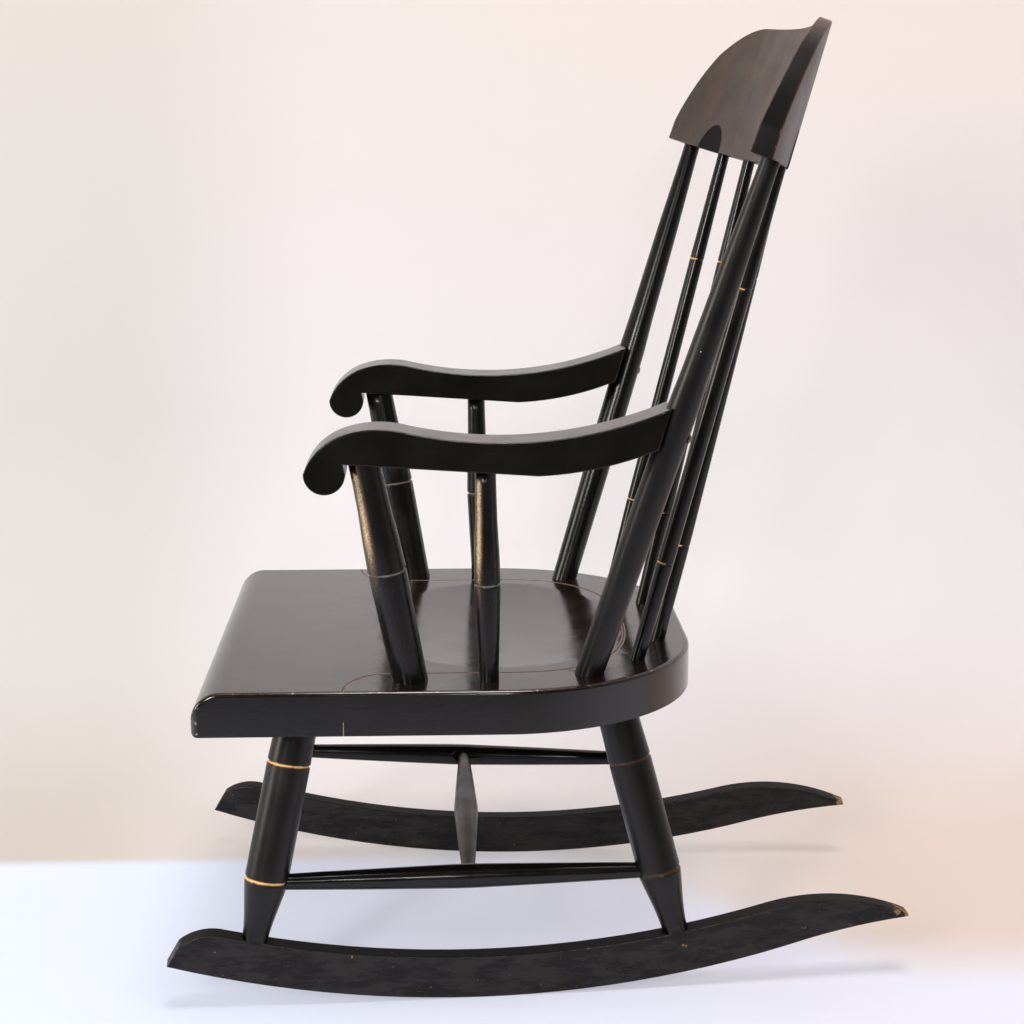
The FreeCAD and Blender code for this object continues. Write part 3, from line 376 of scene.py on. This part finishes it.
# The seat: a solid pine board 31 mm thick, rolled down at the front, with rounded rear corners and
# a shallow hollow planed for the sitter. It is painted with a thin red-brown horseshoe line.
def seat_marks(tree, colour, shine, place, run, grime):
    """The painted line, 1.5 mm wide with a pale rim, from its two front ends round the hollow, the
    top rubbed thin and tinted brown, which also warms the wall's reflection in it as a painted tint,
    specks of bare wood on the front corners, and a scratch on the left side. All sizes in it are in mm."""
    scaled = add_node(tree, "ShaderNodeVectorMath", {"operation": "SCALE"}, {
        0: place, "Scale": 1 / mm})
    parts = add_node(tree, "ShaderNodeSeparateXYZ", inputs={0: scaled})
    side = add_node(tree, "ShaderNodeMath", {"operation": "ABSOLUTE"}, {0: parts.outputs["X"]})
    # Round the back the line is a squared oval, and its mean radius shrinks from its sides to its back
    oval_half_width = 138.0
    oval_depth = 89.0
    oval_centre_y = -22.75
    squareness = 2.5
    shrinking = 0.55
    back = add_node(tree, "ShaderNodeMath", {"operation": "ADD"}, {
        0: parts.outputs["Y"], 1: -oval_centre_y})
    back = add_node(tree, "ShaderNodeMath", {"operation": "MAXIMUM"}, {0: back, 1: 0.0})
    wide = add_node(tree, "ShaderNodeMath", {"operation": "DIVIDE"}, {0: side, 1: oval_half_width})
    wide = add_node(tree, "ShaderNodeMath", {"operation": "POWER"}, {0: wide, 1: squareness})
    deep = add_node(tree, "ShaderNodeMath", {"operation": "DIVIDE"}, {0: back, 1: oval_depth})
    deep = add_node(tree, "ShaderNodeMath", {"operation": "POWER"}, {0: deep, 1: squareness})
    reach = add_node(tree, "ShaderNodeMath", {"operation": "ADD"}, {0: wide, 1: deep})
    reach = add_node(tree, "ShaderNodeMath", {"operation": "POWER"}, {0: reach, 1: 1 / squareness})
    reach = add_node(tree, "ShaderNodeMath", {"operation": "SUBTRACT"}, {0: reach, 1: 1.0})
    size = add_node(tree, "ShaderNodeMath", {"operation": "MULTIPLY_ADD"}, {
        0: back, 1: -shrinking, 2: oval_half_width})
    oval = add_node(tree, "ShaderNodeMath", {"operation": "MULTIPLY"}, {0: reach, 1: size})
    # At the front each end turns out to the board's side in a quarter oval
    curl_width = 43
    curl_length = 31
    curl_side = 181
    curl_y = -108.75
    curl_mean = (curl_width + curl_length) / 2
    wide = add_node(tree, "ShaderNodeMath", {"operation": "MULTIPLY_ADD"}, {
        0: side, 1: -1 / curl_width, 2: curl_side / curl_width})
    wide = add_node(tree, "ShaderNodeMath", {"operation": "MULTIPLY"}, {0: wide, 1: wide})
    deep = add_node(tree, "ShaderNodeMath", {"operation": "MULTIPLY_ADD"}, {
        0: parts.outputs["Y"], 1: -1 / curl_length, 2: curl_y / curl_length})
    deep = add_node(tree, "ShaderNodeMath", {"operation": "MULTIPLY_ADD"}, {0: deep, 1: deep, 2: wide})
    deep = add_node(tree, "ShaderNodeMath", {"operation": "SQRT"}, {0: deep})
    curl = add_node(tree, "ShaderNodeMath", {"operation": "MULTIPLY_ADD"}, {
        0: deep, 1: curl_mean, 2: -curl_mean})
    in_front = add_node(tree, "ShaderNodeMath", {"operation": "LESS_THAN"}, {
        0: parts.outputs["Y"], 1: curl_y})
    gap = add_node(tree, "ShaderNodeMix", {"data_type": "FLOAT"}, {0: in_front, 2: oval, 3: curl})
    gap = add_node(tree, "ShaderNodeMath", {"operation": "ABSOLUTE"}, {0: gap})
    facing = add_node(tree, "ShaderNodeNewGeometry").outputs["Normal"]
    facing = add_node(tree, "ShaderNodeSeparateXYZ", inputs={0: facing}).outputs["Z"]
    on_top = add_node(tree, "ShaderNodeMath", {"operation": "GREATER_THAN"}, {0: facing, 1: 0.9})
    # The top is rubbed thin, so brown shows in its black, and the brown warms the wall's reflection in
    # the top as a painted tint
    thin_and_tinted = add_node(tree, "ShaderNodeMapRange", inputs={
        "Value": grime, "From Min": 0.25, "From Max": 0.75, "To Min": 0.4, "To Max": 0.9})
    thin_and_tinted = add_node(tree, "ShaderNodeMath", {"operation": "MULTIPLY"}, {0: thin_and_tinted, 1: on_top})
    colour = add_node(tree, "ShaderNodeMix", {"data_type": "RGBA"}, {
        0: thin_and_tinted, 6: colour, 7: linear("#1d140f")})
    line_edge = 0.25
    line_roughness = 0.6
    for half_width, line_colour in ((1.3, "#8d7466"), (0.75, "#30130b")):
        line = add_node(tree, "ShaderNodeMapRange", {"interpolation_type": "SMOOTHSTEP"}, {
            "Value": gap, "From Min": half_width - line_edge, "From Max": half_width + line_edge,
            "To Min": 1.0, "To Max": 0.0})
        line = add_node(tree, "ShaderNodeMath", {"operation": "MULTIPLY"}, {0: line, 1: on_top})
        colour = add_node(tree, "ShaderNodeMix", {"data_type": "RGBA"}, {
            0: line, 6: colour, 7: linear(line_colour)})
        shine = add_node(tree, "ShaderNodeMix", {"data_type": "FLOAT"}, {
            0: line, 2: shine, 3: line_roughness})
    # Specks of bare wood on the two front corners, more of them towards the corner
    knock_spread = 25
    knock_y = -236
    knock_side = 180
    speck_size = 2.5
    knocked = add_node(tree, "ShaderNodeMath", {"operation": "MULTIPLY_ADD"}, {
        0: parts.outputs["Y"], 1: -1 / knock_spread, 2: knock_y / knock_spread})
    knocked = add_node(tree, "ShaderNodeMath", {"operation": "MINIMUM"}, {
        0: add_node(tree, "ShaderNodeMath", {"operation": "MULTIPLY_ADD"}, {
            0: side, 1: 1 / knock_spread, 2: -knock_side / knock_spread}), 1: knocked})
    specks = add_node(tree, "ShaderNodeTexNoise", inputs={
        "Vector": place, "Scale": 1 / (speck_size * mm), "Detail": 5.0, "Roughness": 0.7})
    knocked = add_node(tree, "ShaderNodeMath", {"operation": "ADD"}, {0: knocked, 1: specks})
    knocked = add_node(tree, "ShaderNodeMapRange", {"interpolation_type": "SMOOTHSTEP"}, {
        "Value": knocked, "From Min": 0.66, "From Max": 0.74})
    # One short upright scratch, low on the left side face and nowhere else
    scratch_y = -139.0
    scratch_top = 217.5
    scratch_side = 180.0
    scratch_half_width = 0.3
    scratch = add_node(tree, "ShaderNodeMath", {"operation": "ADD"}, {
        0: parts.outputs["Y"], 1: -scratch_y})
    scratch = add_node(tree, "ShaderNodeMath", {"operation": "ABSOLUTE"}, {0: scratch})
    above = add_node(tree, "ShaderNodeMath", {"operation": "SUBTRACT"}, {
        0: parts.outputs["Z"], 1: scratch_top})
    inward = add_node(tree, "ShaderNodeMath", {"operation": "SUBTRACT"}, {
        0: scratch_side, 1: parts.outputs["X"]})
    for beyond in (above, inward):
        scratch = add_node(tree, "ShaderNodeMath", {"operation": "MAXIMUM"}, {0: scratch, 1: beyond})
    scratch = add_node(tree, "ShaderNodeMath", {"operation": "LESS_THAN"}, {
        0: scratch, 1: scratch_half_width})
    for mark, mark_colour in ((knocked, "#b9ada0"), (scratch, "#857b70")):
        colour = add_node(tree, "ShaderNodeMix", {"data_type": "RGBA"}, {
            0: mark, 6: colour, 7: linear(mark_colour)})
    return colour, shine


seat_enamel = black_enamel("satin_black_enamel_on_pine_seat", on_board=True, drag=(1.2, 70),
                           gloss=(0.1, 0.18), rub=0.85, bare="#b7aa9b", chips=0.5,
                           ior=1.56, extra=seat_marks)
# The upper arris wears, all round but on the rolled front
upper_arris_z = 233.5
nose_y = -222
nose_half_width = 179.5
seat_shape = merged_copy("seat")
worn = seat_shape.faces.layers.float.new("arris")
for face in seat_shape.faces:
    middle = face.calc_center_median()
    at_top = middle.z > upper_arris_z * mm and 0.6 < face.normal.z < 0.92
    on_nose = middle.y < nose_y * mm and abs(middle.x) < nose_half_width * mm
    face[worn] = 1.0 if at_top and not on_nose else 0.0
fit_piece(seat_shape, "seat_board", "seat", seat_enamel)


# The legs: four maple turnings with a drum between two ringed grooves, let into the seat from below
# and into the runners. The front grooves are lined with gold, the rear ones are worn dark.
def far_end(shape, direction):
    """The middle of the disc at one end of a turning."""
    disc_depth = 0.15
    furthest = max(vert.co.dot(direction) for vert in shape.verts)
    rim = [vert.co for vert in shape.verts if vert.co.dot(direction) > furthest - disc_depth * mm]
    return sum(rim, Vector()) / len(rim)


def turned_piece(name, node, material, towards=(0, 0, 1), middle=None, grooves=()):
    """A finished turning. Its own frame is kept in the attribute along, in metres: two ways across
    and the way along it, from the station middle. Stations are in mm from the turning's foot. Each
    groove has its station, its half width and how far its two lips are rounded."""
    near_lip = 0.05
    shape = merged_copy(node)
    axis = Vector(towards).normalized()
    # The axis starts roughly right, and each round brings it nearer
    for _ in range(4):
        foot = far_end(shape, -axis)
        head = far_end(shape, axis)
        axis = (head - foot).normalized()
    if middle is None:
        middle = (head - foot).length / mm / 2
    for station, half_width, soft in grooves:
        lips = []
        for edge in shape.edges:
            runs = [(vert.co - foot).dot(axis) / mm for vert in edge.verts]
            if all(abs(abs(run - station) - half_width) < near_lip for run in runs):
                lips.append(edge)
        if lips:
            bmesh.ops.bevel(shape, geom=lips, affect="EDGES", offset=soft * mm, segments=2,
                            profile=0.5, material=-1)
    across = axis.orthogonal().normalized()
    aside = axis.cross(across)
    along = shape.verts.layers.float_vector.new("along")
    for vert in shape.verts:
        out = vert.co - foot
        vert[along] = (out.dot(across), out.dot(aside), out.dot(axis) - middle * mm)
    fit_piece(shape, name, node, material)


# The gold goes from dark brown at a groove's lips to pale in its middle: the pale is a painted
# highlight of the gold
gold_rings_and_highlight = ((1.5, "#3a1f0c"), (0.95, "#8e5c22"), (0.55, "#e3bd79"))
dark_rings = ((1.6, "#20150d"), (0.8, "#3c2a1a"))
foot_tenon = 14
low_groove = 40
high_groove = 124
leg_groove = (1.5, 0.4)
leg_ring_half_gap = (high_groove - low_groove) / 2
front_leg_enamel = black_enamel("black_enamel_with_highlit_gold_rings", gloss=(0.28, 0.4),
                                rings=(leg_ring_half_gap, gold_rings_and_highlight, False))
rear_leg_enamel = black_enamel("black_enamel_with_worn_rings", gloss=(0.28, 0.4),
                               rings=(leg_ring_half_gap, dark_rings, False))
# stub is the length that a leg has at its foot to be cut to the runner
for side in ("left", "right"):
    for end, stub, enamel in (("front", 3, front_leg_enamel), ("rear", 5.5, rear_leg_enamel)):
        low = foot_tenon + stub + low_groove
        high = foot_tenon + stub + high_groove
        turned_piece(f"{end}_leg_{side}", f"leg_{end}_{side}", enamel,
                     middle=(low + high) / 2, grooves=((low, *leg_groove), (high, *leg_groove)))


# The stretchers: plain cigar turnings of maple, glued into round holes in the legs. The one across
# is rubbed by feet to a thin grey-brown.
stretcher_enamel = black_enamel("black_enamel_on_stretchers", gloss=(0.12, 0.22), chips=0.2)
worn_enamel = black_enamel("foot_worn_enamel", paint=("#231a16", "#43362e"), gloss=(0.3, 0.5),
                           drag=(1.0, 30), chips=0.6)
for side in ("left", "right"):
    turned_piece(f"stretcher_{side}", f"side_stretcher_{side}", stretcher_enamel,
                 towards=(0, 1, 0))
turned_piece("stretcher_across", "cross_stretcher", worn_enamel, towards=(1, 0, 0))


# The runners: 15 mm maple boards sawn to a long curve with a raised heel and a raked nose. Their
# arrises are rubbed grey-brown, the heel's tip is worn to the wood and the faces are scuffed dull.
def flat_side(shape, direction):
    """The faces of a board's one side, flat or bent, up to its arrises."""
    most_bend = math.radians(15)
    direction = Vector(direction)
    start = max(shape.faces, key=lambda face: face.calc_area() * face.normal.dot(direction))
    side = {start}
    waiting = [start]
    while waiting:
        face = waiting.pop()
        for edge in face.edges:
            for other in edge.link_faces:
                if other not in side and edge.calc_face_angle(0) < most_bend:
                    side.add(other)
                    waiting.append(other)
    return side


def board_piece(name, node, material, direction, arris=1.2, shape=None):
    """A finished board: the arrises of its two sides are rounded, and marked where they wear.
    shape is a board to finish in place of the CAD node's own."""
    shape = shape or merged_copy(node)
    worn = shape.faces.layers.float.new("arris")
    rims = set()
    for way in (Vector(direction), -Vector(direction)):
        side = flat_side(shape, way)
        rims |= {edge for face in side for edge in face.edges
                 if sum(other in side for other in edge.link_faces) == 1}
    rounded = bmesh.ops.bevel(shape, geom=list(rims), affect="EDGES", offset=arris * mm, segments=3,
                              profile=0.5, material=-1, clamp_overlap=True)
    for face in rounded["faces"]:
        if 0.2 < abs(face.normal.dot(Vector(direction).normalized())) < 0.94:
            face[worn] = 1.0
    fit_piece(shape, name, node, material)


def scuffed(tree, colour, shine, place, run, grime):
    """Dull grey scuffs along the sides, a matt top painted a darker black as painted shade, and bare
    wood at the heel's tip.
    """
    scuff_length = 34
    scuff_height = 9
    scuff_roughness = 0.5
    top_roughness = 0.7
    tip_start = 0.252
    tip_end = 0.268
    stretched = add_node(tree, "ShaderNodeMapping", inputs={
        "Vector": place,
        "Scale": (1 / (scuff_height * mm), 1 / (scuff_length * mm), 1 / (scuff_height * mm))})
    patches = add_node(tree, "ShaderNodeTexNoise", inputs={
        "Vector": stretched, "Scale": 1.0, "Detail": 7.0, "Roughness": 0.72})
    dull = add_node(tree, "ShaderNodeMapRange", {"interpolation_type": "SMOOTHSTEP"}, {
        "Value": patches, "From Min": 0.43, "From Max": 0.58})
    colour = add_node(tree, "ShaderNodeMix", {"data_type": "RGBA"}, {
        0: dull, 6: colour, 7: linear("#262221")})
    shine = add_node(tree, "ShaderNodeMix", {"data_type": "FLOAT"}, {
        0: dull, 2: shine, 3: scuff_roughness})
    # The top is matt, and it is painted a darker black there as painted shade
    facing = add_node(tree, "ShaderNodeNewGeometry").outputs["Normal"]
    facing = add_node(tree, "ShaderNodeSeparateXYZ", inputs={0: facing}).outputs["Z"]
    on_top = add_node(tree, "ShaderNodeMapRange", inputs={
        "Value": facing, "From Min": 0.4, "From Max": 0.8})
    colour = add_node(tree, "ShaderNodeMix", {"data_type": "RGBA"}, {
        0: on_top, 6: colour, 7: linear("#080504")})
    shine = add_node(tree, "ShaderNodeMix", {"data_type": "FLOAT"}, {
        0: on_top, 2: shine, 3: top_roughness})
    parts = add_node(tree, "ShaderNodeSeparateXYZ", inputs={0: place})
    at_tip = add_node(tree, "ShaderNodeMapRange", inputs={
        "Value": parts.outputs["Y"], "From Min": tip_start, "From Max": tip_end,
        "To Min": 0.0, "To Max": 0.3})
    at_tip = add_node(tree, "ShaderNodeMath", {"operation": "ADD"}, {0: at_tip, 1: grime})
    bare = add_node(tree, "ShaderNodeMapRange", {"interpolation_type": "SMOOTHSTEP"}, {
        "Value": at_tip, "From Min": 0.66, "From Max": 0.74})
    colour = add_node(tree, "ShaderNodeMix", {"data_type": "RGBA"}, {
        0: bare, 6: colour, 7: linear("#8b6a4c")})
    return colour, shine


runner_enamel = black_enamel("scuffed_black_enamel", on_board=True, gloss=(0.22, 0.34), rub=0.7,
                             undercoat="#5f554d", bare="#b0a596", chips=0.35, chip_colour="#6e6359",
                             ior=1.33, extra=scuffed)
for side, way in (("left", 1), ("right", -1)):
    board_piece(f"rocker_{side}", f"runner_{side}", runner_enamel, (way, 0, 0))


# The back: two posts and five spindles, turned from maple and let into the seat and the crest. Each
# spindle has two fine grooves, gold on the front only.
def duller_left(tree, colour, shine, place, run, grime):
    """The left post is handled more, so it is duller."""
    duller = 0.1
    left = add_node(tree, "ShaderNodeSeparateXYZ", inputs={0: place}).outputs["X"]
    left = add_node(tree, "ShaderNodeMath", {"operation": "GREATER_THAN"}, {0: left, 1: 0.0})
    shine = add_node(tree, "ShaderNodeMath", {"operation": "MULTIPLY_ADD"}, {
        0: left, 1: duller, 2: shine})
    return colour, shine


smooth_drag = 0.008
post_enamel = black_enamel("black_enamel_on_posts", gloss=(0.2, 0.28), drag_height=smooth_drag,
                           chips=0.4, extra=duller_left)
spindle_tenon = 18
spindle_low = spindle_tenon + 75
spindle_high = spindle_tenon + 276
spindle_groove = (1, 0.25)
spindle_rings = ((spindle_high - spindle_low) / 2, ((0.8, "#6b4518"), (0.5, "#cf9c4c")), True)
spindle_enamel = black_enamel("black_enamel_on_spindles", gloss=(0.17, 0.24),
                              drag_height=smooth_drag, chips=0.15, rings=spindle_rings)
leaning = (0, 0.3, 1)
for side in ("left", "right"):
    turned_piece(f"post_{side}", f"back_post_{side}", post_enamel, towards=leaning)
for number in range(1, 6):
    turned_piece(f"spindle_{number}", f"back_spindle_{number}", spindle_enamel,
                 towards=leaning, middle=(spindle_low + spindle_high) / 2,
                 grooves=((spindle_low, *spindle_groove), (spindle_high, *spindle_groove)))


# The crest: a wide board of beech bent round the sitter, tombstone shaped and thinned to its top.
# Its black has faded to a grey-brown, and two dark half rounds stand above its lower edge.
def faded(tree, colour, shine, place, run, grime):
    """Brown showing through in cloudy patches, darker half rounds, and rubbed upper corners."""
    cloud_size = 30
    clouds = add_node(tree, "ShaderNodeTexNoise", inputs={
        "Vector": place, "Scale": 1 / (cloud_size * mm), "Detail": 6.0, "Roughness": 0.62})
    parts = add_node(tree, "ShaderNodeSeparateXYZ", inputs={0: place})
    side = add_node(tree, "ShaderNodeMath", {"operation": "ABSOLUTE"}, {0: parts.outputs["X"]})
    facing = add_node(tree, "ShaderNodeNewGeometry").outputs["Normal"]
    facing = add_node(tree, "ShaderNodeSeparateXYZ", inputs={0: facing}).outputs["Y"]
    broad = add_node(tree, "ShaderNodeMath", {"operation": "ABSOLUTE"}, {0: facing})
    broad = add_node(tree, "ShaderNodeMath", {"operation": "GREATER_THAN"}, {0: broad, 1: 0.6})
    # Brown shows all over the two broad faces, and more in clouds
    cloudy = add_node(tree, "ShaderNodeMapRange", {"interpolation_type": "SMOOTHSTEP"}, {
        "Value": clouds, "From Min": 0.38, "From Max": 0.66, "To Min": 0.45, "To Max": 0.95})
    cloudy = add_node(tree, "ShaderNodeMath", {"operation": "MULTIPLY"}, {0: cloudy, 1: broad})
    colour = add_node(tree, "ShaderNodeMix", {"data_type": "RGBA"}, {
        0: cloudy, 6: colour, 7: linear("#39271b")})
    # The ends' upper corners are rubbed brown
    corner = add_node(tree, "ShaderNodeMapRange", inputs={
        "Value": parts.outputs["Z"], "From Min": 0.655, "From Max": 0.685,
        "To Min": -0.3, "To Max": 0.2})
    corner = add_node(tree, "ShaderNodeMath", {"operation": "ADD"}, {0: corner, 1: grime})
    corner = add_node(tree, "ShaderNodeMapRange", {"interpolation_type": "SMOOTHSTEP"}, {
        "Value": corner, "From Min": 0.45, "From Max": 0.7, "To Min": 0.0, "To Max": 0.7})
    narrow = add_node(tree, "ShaderNodeMath", {"operation": "SUBTRACT"}, {0: 1.0, 1: broad})
    corner = add_node(tree, "ShaderNodeMath", {"operation": "MULTIPLY"}, {0: corner, 1: narrow})
    colour = add_node(tree, "ShaderNodeMix", {"data_type": "RGBA"}, {
        0: corner, 6: colour, 7: linear("#4a2c1d")})
    # The half rounds stand further out and are wider on the front than on the back. All in metres.
    front_centre, back_centre = 0.144, 0.1355
    front_half_width, back_half_width = 0.025, 0.0145
    half_round_height = 0.025
    half_round_foot_z = 0.587
    at_back = add_node(tree, "ShaderNodeMath", {"operation": "GREATER_THAN"}, {0: facing, 1: 0.0})
    centre = add_node(tree, "ShaderNodeMapRange", inputs={
        "Value": at_back, "To Min": front_centre, "To Max": back_centre})
    spread = add_node(tree, "ShaderNodeMapRange", inputs={
        "Value": at_back, "To Min": front_half_width, "To Max": back_half_width})
    off = add_node(tree, "ShaderNodeMath", {"operation": "SUBTRACT"}, {0: side, 1: centre})
    off = add_node(tree, "ShaderNodeMath", {"operation": "DIVIDE"}, {0: off, 1: spread})
    off = add_node(tree, "ShaderNodeMath", {"operation": "MULTIPLY"}, {0: off, 1: off})
    rise = add_node(tree, "ShaderNodeMath", {"operation": "MULTIPLY_ADD"}, {
        0: parts.outputs["Z"], 1: 1 / half_round_height,
        2: -half_round_foot_z / half_round_height})
    reach = add_node(tree, "ShaderNodeMath", {"operation": "MULTIPLY_ADD"}, {0: rise, 1: rise, 2: off})
    dark = add_node(tree, "ShaderNodeMapRange", {"interpolation_type": "SMOOTHSTEP"}, {
        "Value": reach, "From Min": 0.95, "From Max": 1.05, "To Min": 1.0, "To Max": 0.0})
    colour = add_node(tree, "ShaderNodeMix", {"data_type": "RGBA"}, {
        0: dark, 6: colour, 7: linear("#040303")})
    shine = add_node(tree, "ShaderNodeMix", {"data_type": "FLOAT"}, {0: dark, 2: shine, 3: 1.0})
    return colour, shine


crest_enamel = black_enamel("faded_black_enamel", on_board=True, undercoat="#40200f", bare="#7a4a2e",
                            gloss=(0.34, 0.44), drag=(1.5, 1.5), rub=0.95, chips=0.4, ior=1.33,
                            extra=faded)
board_piece("crest", "crest_rail", crest_enamel, (0, -1, 0.35), arris=1.0)


# The arm supports: on each side a thick maple turning in front and a slim one behind it, let into
# the seat and the arm, each with one groove. Their outer fronts are pale, from rubbed paint and a
# painted highlight of the front window.
def worn_and_highlit_front(tree, colour, shine, place, run, grime):
    """A pale band down the outer front, strongest above the groove: rubbed paint, with a painted
    highlight of the front window, set by which way the surface faces.
    """
    outward = 0.73
    forward = 0.68
    fleck_size = 1.1
    facing = add_node(tree, "ShaderNodeNewGeometry").outputs["Normal"]
    facing = add_node(tree, "ShaderNodeSeparateXYZ", inputs={0: facing})
    side = add_node(tree, "ShaderNodeSeparateXYZ", inputs={0: place}).outputs["X"]
    side = add_node(tree, "ShaderNodeMath", {"operation": "SIGN"}, {0: side})
    outer = add_node(tree, "ShaderNodeMath", {"operation": "MULTIPLY"}, {
        0: facing.outputs["X"], 1: side})
    outer = add_node(tree, "ShaderNodeMath", {"operation": "MULTIPLY"}, {0: outer, 1: outward})
    towards = add_node(tree, "ShaderNodeMath", {"operation": "MULTIPLY_ADD"}, {
        0: facing.outputs["Y"], 1: -forward, 2: outer})
    height = add_node(tree, "ShaderNodeSeparateXYZ", inputs={0: run}).outputs["Z"]
    upper = add_node(tree, "ShaderNodeMapRange", {"interpolation_type": "SMOOTHSTEP"}, {
        "Value": height, "From Min": -0.05, "From Max": 0.03, "To Min": -0.13, "To Max": 0.0})
    flecks = add_node(tree, "ShaderNodeTexNoise", inputs={
        "Vector": place, "Scale": 1 / (fleck_size * mm), "Detail": 4.0, "Roughness": 0.7})
    uneven = add_node(tree, "ShaderNodeMapRange", inputs={
        "Value": flecks, "From Min": 0.3, "From Max": 0.7, "To Min": -0.03, "To Max": 0.03})
    amount = add_node(tree, "ShaderNodeMath", {"operation": "ADD"}, {0: towards, 1: upper})
    amount = add_node(tree, "ShaderNodeMath", {"operation": "ADD"}, {0: amount, 1: uneven})
    # Dark brown to cream: rubbed paint, and a painted highlight in its cream middle
    for start, reach, worn_colour in ((0.86, 0.1, "#30231a"), (0.91, 0.08, "#6f573b"),
                                      (0.95, 0.07, "#d3bb93")):
        wear_and_highlight_band = add_node(tree, "ShaderNodeMapRange", {"interpolation_type": "SMOOTHSTEP"}, {
            "Value": amount, "From Min": start, "From Max": start + reach})
        colour = add_node(tree, "ShaderNodeMix", {"data_type": "RGBA"}, {
            0: wear_and_highlight_band, 6: colour, 7: linear(worn_colour)})
    return colour, shine


# Each groove is dark, with a grey middle that is a painted sheen
support_rings_and_sheen = ((0.9, "#2f2a26"), (0.55, "#6f675f"))
support_enamel = black_enamel("sleeve_worn_highlit_enamel", gloss=(0.22, 0.3), chips=0.4,
                              rings=(0, support_rings_and_sheen, False), extra=worn_and_highlit_front)
support_tenon = 15
support_groove = (1.5, 0.4)
for side in ("left", "right"):
    for stand, groove in (("front", support_tenon + 81), ("middle", support_tenon + 70)):
        turned_piece(f"{stand}_support_{side}", f"arm_support_{stand}_{side}", support_enamel,
                     middle=groove, grooves=((groove, *support_groove),))


# The arms: maple boards 35 mm wide, sawn to an S curve with a rolled scroll at the front, and
# screwed to the posts through their backs.
arm_enamel = black_enamel("black_enamel_on_arms", on_board=True, gloss=(0.16, 0.26), rub=0.5,
                          undercoat="#2c1a11", bare="#54402f", chips=0.25)
arm_width = 35
for side, way in (("left", 1), ("right", -1)):
    # The board is sawn from its outer side's outline, so it lacks the holes of the CAD's arm
    board = merged_copy(f"arm_{side}")
    outline = flat_side(board, (way, 0, 0))
    bmesh.ops.delete(board, geom=[face for face in board.faces if face not in outline],
                     context="FACES")
    thick = bmesh.ops.extrude_face_region(board, geom=board.faces[:])
    moved = [item for item in thick["geom"] if isinstance(item, bmesh.types.BMVert)]
    bmesh.ops.translate(board, verts=moved, vec=(-way * arm_width * mm, 0, 0))
    bmesh.ops.recalc_face_normals(board, faces=board.faces)
    board_piece(f"armrest_{side}", f"arm_{side}", arm_enamel, (way, 0, 0),
                arris=1.0, shape=board)


# The screws: one steel round-head screw through the back of each post into the arm. Bare steel
# goes dull and patchy. The shank is shorter than the CAD's, whose tip comes out of the arm's top.
tarnish_size = 1.5
dull_steel, tree = new_tree("dull_steel")
place = add_node(tree, "ShaderNodeTexCoord").outputs["Object"]
tarnish = add_node(tree, "ShaderNodeTexNoise", inputs={
    "Vector": place, "Scale": 1 / (tarnish_size * mm), "Detail": 4.0})
tone = add_node(tree, "ShaderNodeMix", {"data_type": "RGBA"}, {
    0: tarnish, 6: linear("#4c4742"), 7: linear("#8d867d")})
shine = add_node(tree, "ShaderNodeMapRange", inputs={
    "Value": tarnish, "To Min": 0.35, "To Max": 0.6})
skin = add_node(tree, "ShaderNodeBsdfPrincipled", inputs={
    "Base Color": tone, "Metallic": 1.0, "Roughness": shine})
add_node(tree, "ShaderNodeOutputMaterial", inputs={"Surface": skin})

head_radius = 3.5
head_rise = 2.2
shank_radius = 1.5
shank_length = 24
slot_half_width = 0.5
slot_depth = 0.8
screws = bmesh.new()
for way in (1, -1):
    # The CAD's screw on this side gives the head's place and the axis, which starts roughly right
    half = bmesh.new()
    half.from_mesh(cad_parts["arm_screws"].data)
    bmesh.ops.delete(half, geom=[vert for vert in half.verts if vert.co.x * way < 0],
                     context="VERTS")
    axis = Vector((0.05 * way, 1, -0.3)).normalized()
    for _ in range(4):
        tip = far_end(half, -axis)
        head = far_end(half, axis)
        axis = (head - tip).normalized()
    half.free()
    # A quarter dome for the head, a shoulder and a plain shank, spun round
    line = [(0, head_rise)]
    line += [(head_radius * math.sin(math.radians(turn)), head_rise * math.cos(math.radians(turn)))
             for turn in (20, 40, 60, 78, 90)]
    line += [(shank_radius, 0), (shank_radius, -shank_length), (0, -shank_length)]
    screw = bmesh.new()
    verts = [screw.verts.new((x * mm, 0, z * mm)) for x, z in line]
    for first, second in zip(verts, verts[1:]):
        screw.edges.new((first, second))
    bmesh.ops.spin(screw, geom=screw.verts[:] + screw.edges[:], axis=(0, 0, 1), cent=(0, 0, 0),
                   angle=math.radians(360), steps=24, use_merge=True)
    bmesh.ops.remove_doubles(screw, verts=screw.verts, dist=0.01 * mm)
    # The slot: the strip between two cuts across the dome goes down as one
    for cut_x in (-slot_half_width, slot_half_width):
        bmesh.ops.bisect_plane(screw, geom=screw.verts[:] + screw.edges[:] + screw.faces[:],
                               plane_co=(cut_x * mm, 0, 0), plane_no=(1, 0, 0))
    strip = [face for face in screw.faces if face.calc_center_median().z > 0.02 * mm
             and abs(face.calc_center_median().x) < slot_half_width * mm]
    sunk = bmesh.ops.extrude_face_region(screw, geom=strip)
    bmesh.ops.delete(screw, geom=strip, context="FACES_ONLY")
    moved = [item for item in sunk["geom"] if isinstance(item, bmesh.types.BMVert)]
    bmesh.ops.translate(screw, verts=moved, vec=(0, 0, -slot_depth * mm))
    bmesh.ops.recalc_face_normals(screw, faces=screw.faces)
    turned = axis.to_track_quat("Z", "Y").to_matrix()
    bmesh.ops.rotate(screw, verts=screw.verts, cent=(0, 0, 0), matrix=turned)
    bmesh.ops.translate(screw, verts=screw.verts, vec=head - axis * head_rise * mm)
    made = bpy.data.meshes.new("one_screw")
    screw.to_mesh(made)
    screw.free()
    screws.from_mesh(made)
    bpy.data.meshes.remove(made)
fit_piece(screws, "round_head_screws", "arm_screws", dull_steel)
